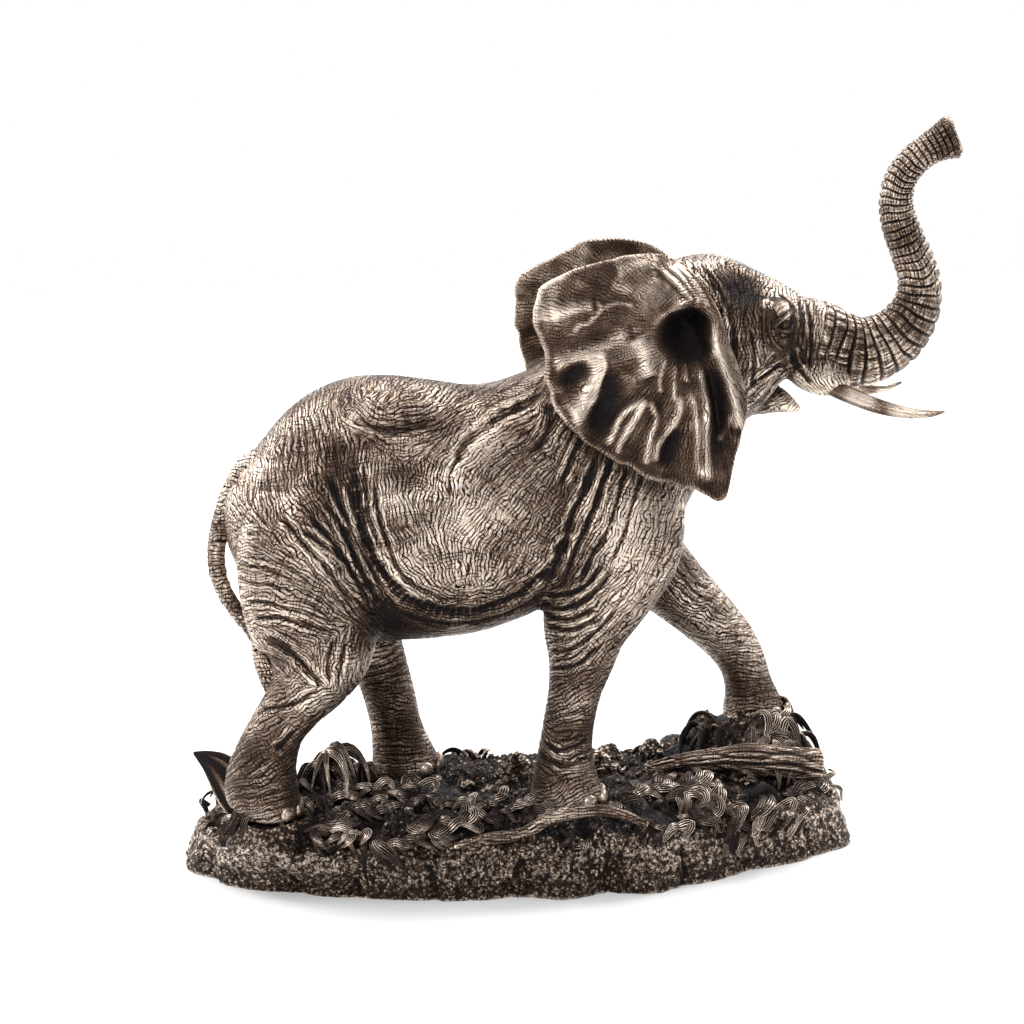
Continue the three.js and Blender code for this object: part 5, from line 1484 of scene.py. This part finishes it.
def build_stage(stage):
    """A pale floor, soft lights and the camera."""
    mesh = bpy.data.meshes.new("floor")
    outline = [(-1.6, -1.6, 0), (1.6, -1.6, 0), (1.6, 1.6, 0), (-1.6, 1.6, 0)]
    mesh.from_pydata(outline, [], [(0, 1, 2, 3)])
    floor = bpy.data.objects.new("floor", mesh)
    bpy.context.scene.collection.objects.link(floor)
    pale = bpy.data.materials.new("floor_paint")
    pale.use_nodes = True
    shader = pale.node_tree.nodes["Principled BSDF"]
    shader.inputs["Base Color"].default_value = (*stage.floor_colour, 1)
    shader.inputs["Roughness"].default_value = 0.9
    shader.inputs["Specular IOR Level"].default_value = 0.1
    mesh.materials.append(pale)
    world = bpy.data.worlds.new("studio")
    world.use_nodes = True
    tree = world.node_tree
    tree.nodes.clear()
    # The walls behind and overhead are brighter than the wall that the camera stands at
    spot = tree.nodes.new("ShaderNodeTexCoord")
    parts = tree.nodes.new("ShaderNodeSeparateXYZ")
    tree.links.new(spot.outputs["Generated"], parts.inputs[0])
    glows = []
    for axis, low, high, dark, bright in ((1, -0.4, 0.75, 0.07, 1.1), (2, 0.15, 0.95, 0.0, 0.55)):
        ramp = tree.nodes.new("ShaderNodeMapRange")
        ramp.interpolation_type = "SMOOTHSTEP"
        for index, value in ((1, low), (2, high), (3, dark), (4, bright)):
            ramp.inputs[index].default_value = value
        tree.links.new(parts.outputs[axis], ramp.inputs[0])
        glows.append(ramp)
    total = tree.nodes.new("ShaderNodeMath")
    for k in (0, 1):
        tree.links.new(glows[k].outputs[0], total.inputs[k])
    walls = tree.nodes.new("ShaderNodeBackground")
    walls.inputs[0].default_value = (0.97, 0.98, 1.0, 1)
    tree.links.new(total.outputs[0], walls.inputs[1])
    pale_wall = tree.nodes.new("ShaderNodeBackground")
    pale_wall.inputs[0].default_value = (1, 1, 1, 1)
    seen = tree.nodes.new("ShaderNodeLightPath")
    either = tree.nodes.new("ShaderNodeMixShader")
    tree.links.new(seen.outputs["Is Camera Ray"], either.inputs[0])
    tree.links.new(walls.outputs[0], either.inputs[1])
    tree.links.new(pale_wall.outputs[0], either.inputs[2])
    out = tree.nodes.new("ShaderNodeOutputWorld")
    tree.links.new(either.outputs[0], out.inputs[0])
    bpy.context.scene.world = world
    bpy.context.scene.view_settings.view_transform = "Standard"
    target = Vector((0.0, 0, 0.14))
    lights = [
        ("key", (-0.7, -1.3, 1.25), 0.5, 17), ("fill", (0.8, -1.6, 0.35), 0.7, 4),
        ("top", (0.1, 0.5, 1.5), 0.9, 9),
        ("back_left", (-1.2, 0.8, 0.9), 0.7, 16), ("back_right", (1.2, 0.7, 1.1), 0.6, 15),
    ]
    for name, spot, size, power in lights:
        lamp = bpy.data.lights.new(name, "AREA")
        lamp.shape = "DISK"
        lamp.size = size
        lamp.energy = power
        made = bpy.data.objects.new(name, lamp)
        made.location = spot
        made.rotation_euler = (target - Vector(spot)).to_track_quat("-Z", "Y").to_euler()
        bpy.context.scene.collection.objects.link(made)
    turn, high = -stage.camera_turn, stage.camera_height
    back = Vector((math.sin(turn) * math.cos(high), -math.cos(turn) * math.cos(high), math.sin(high)))
    right = Vector((math.cos(turn), math.sin(turn), 0))
    up = back.cross(right)
    lens = bpy.data.cameras.new("camera")
    # At 1350 mm, the photo's 1024 px show 2.58 px for each millimetre
    lens.sensor_width = 36
    lens.lens = lens.sensor_width * 2.58 * 1350 / 1024
    lens.clip_end = 100
    camera = bpy.data.objects.new("camera", lens)
    spot = Vector((-0.004, 0, 0.138)) + back * stage.camera_distance
    camera.matrix_world = Matrix.Translation(spot) @ Matrix((right, up, back)).transposed().to_4x4()
    bpy.context.scene.collection.objects.link(camera)
    bpy.context.scene.camera = camera


# Operators, one for each piece or group of like pieces


class STATUE_OT_stage(bpy.types.Operator):
    """Lay the floor and set the lights and the camera"""
    bl_idname = "statue.stage"
    bl_label = "Stage"

    def execute(self, context):
        build_stage(context.scene.statue_stage)
        return {"FINISHED"}


class STATUE_OT_hide(bpy.types.Operator):
    """Model the body, legs and head"""
    bl_idname = "statue.hide"
    bl_label = "Body, legs and head"

    def execute(self, context):
        build_hide(context.scene.statue_sizes, context.scene.statue_finish)
        return {"FINISHED"}


class STATUE_OT_trunk(bpy.types.Operator):
    """Model the ringed trunk"""
    bl_idname = "statue.trunk"
    bl_label = "Trunk"

    def execute(self, context):
        build_trunk(context.scene.statue_sizes, context.scene.statue_finish)
        return {"FINISHED"}


class STATUE_OT_ears(bpy.types.Operator):
    """Model both ears"""
    bl_idname = "statue.ears"
    bl_label = "Ears"

    def execute(self, context):
        for side in (-1, 1):
            build_ear(side, context.scene.statue_finish)
        return {"FINISHED"}


class STATUE_OT_tail(bpy.types.Operator):
    """Model the tail and its tuft"""
    bl_idname = "statue.tail"
    bl_label = "Tail"

    def execute(self, context):
        build_tail(context.scene.statue_finish)
        return {"FINISHED"}


class STATUE_OT_nails(bpy.types.Operator):
    """Model the toe nails of all four feet"""
    bl_idname = "statue.nails"
    bl_label = "Toe nails"

    def execute(self, context):
        build_nails(context.scene.statue_finish)
        return {"FINISHED"}


class STATUE_OT_tusks(bpy.types.Operator):
    """Model both tusks"""
    bl_idname = "statue.tusks"
    bl_label = "Tusks"

    def execute(self, context):
        for side in (-1, 1):
            build_tusk(side, context.scene.statue_finish)
        return {"FINISHED"}


class STATUE_OT_ground(bpy.types.Operator):
    """Model the piece of ground"""
    bl_idname = "statue.ground"
    bl_label = "Ground"

    def execute(self, context):
        build_ground(context.scene.statue_sizes, context.scene.statue_finish)
        return {"FINISHED"}


class STATUE_OT_wood(bpy.types.Operator):
    """Model the log and the branch"""
    bl_idname = "statue.wood"
    bl_label = "Log and branch"

    def execute(self, context):
        build_wood(context.scene.statue_finish)
        return {"FINISHED"}


class STATUE_OT_growth(bpy.types.Operator):
    """Model the grass and the leaves"""
    bl_idname = "statue.growth"
    bl_label = "Grass and leaves"

    def execute(self, context):
        build_growth(context.scene.statue_finish)
        return {"FINISHED"}


class STATUE_OT_stones(bpy.types.Operator):
    """Model the stones and the loose pebbles"""
    bl_idname = "statue.stones"
    bl_label = "Stones"

    def execute(self, context):
        build_stones(context.scene.statue_finish)
        return {"FINISHED"}


OPERATORS = (
    STATUE_OT_stage, STATUE_OT_hide, STATUE_OT_trunk, STATUE_OT_ears, STATUE_OT_tail, STATUE_OT_nails,
    STATUE_OT_tusks, STATUE_OT_ground, STATUE_OT_wood, STATUE_OT_growth, STATUE_OT_stones,
)


class STATUE_PT_panel(bpy.types.Panel):
    """Sizes, colours and pieces of the statue"""
    bl_idname = "STATUE_PT_panel"
    bl_label = "Elephant statue"
    bl_space_type = "VIEW_3D"
    bl_region_type = "UI"
    bl_category = "Statue"

    def draw(self, context):
        for group in (context.scene.statue_sizes, context.scene.statue_finish, context.scene.statue_stage):
            for key in group.__annotations__:
                self.layout.prop(group, key)
        for operator in OPERATORS:
            self.layout.operator(operator.bl_idname)


CLASSES = (StatueSettings, FinishSettings, StageSettings, *OPERATORS, STATUE_PT_panel)


def register():
    for made in CLASSES:
        bpy.utils.register_class(made)
    bpy.types.Scene.statue_sizes = bpy.props.PointerProperty(type=StatueSettings)
    bpy.types.Scene.statue_finish = bpy.props.PointerProperty(type=FinishSettings)
    bpy.types.Scene.statue_stage = bpy.props.PointerProperty(type=StageSettings)


def unregister():
    del bpy.types.Scene.statue_sizes
    del bpy.types.Scene.statue_finish
    del bpy.types.Scene.statue_stage
    for made in reversed(CLASSES):
        bpy.utils.unregister_class(made)


def main():
    """Makes every piece in order."""
    register()
    bpy.ops.statue.stage()
    bpy.ops.statue.hide()
    bpy.ops.statue.trunk()
    bpy.ops.statue.ears()
    bpy.ops.statue.tail()
    bpy.ops.statue.nails()
    bpy.ops.statue.tusks()
    bpy.ops.statue.ground()
    bpy.ops.statue.wood()
    bpy.ops.statue.growth()
    bpy.ops.statue.stones()


if __name__ == "__main__":
    main()
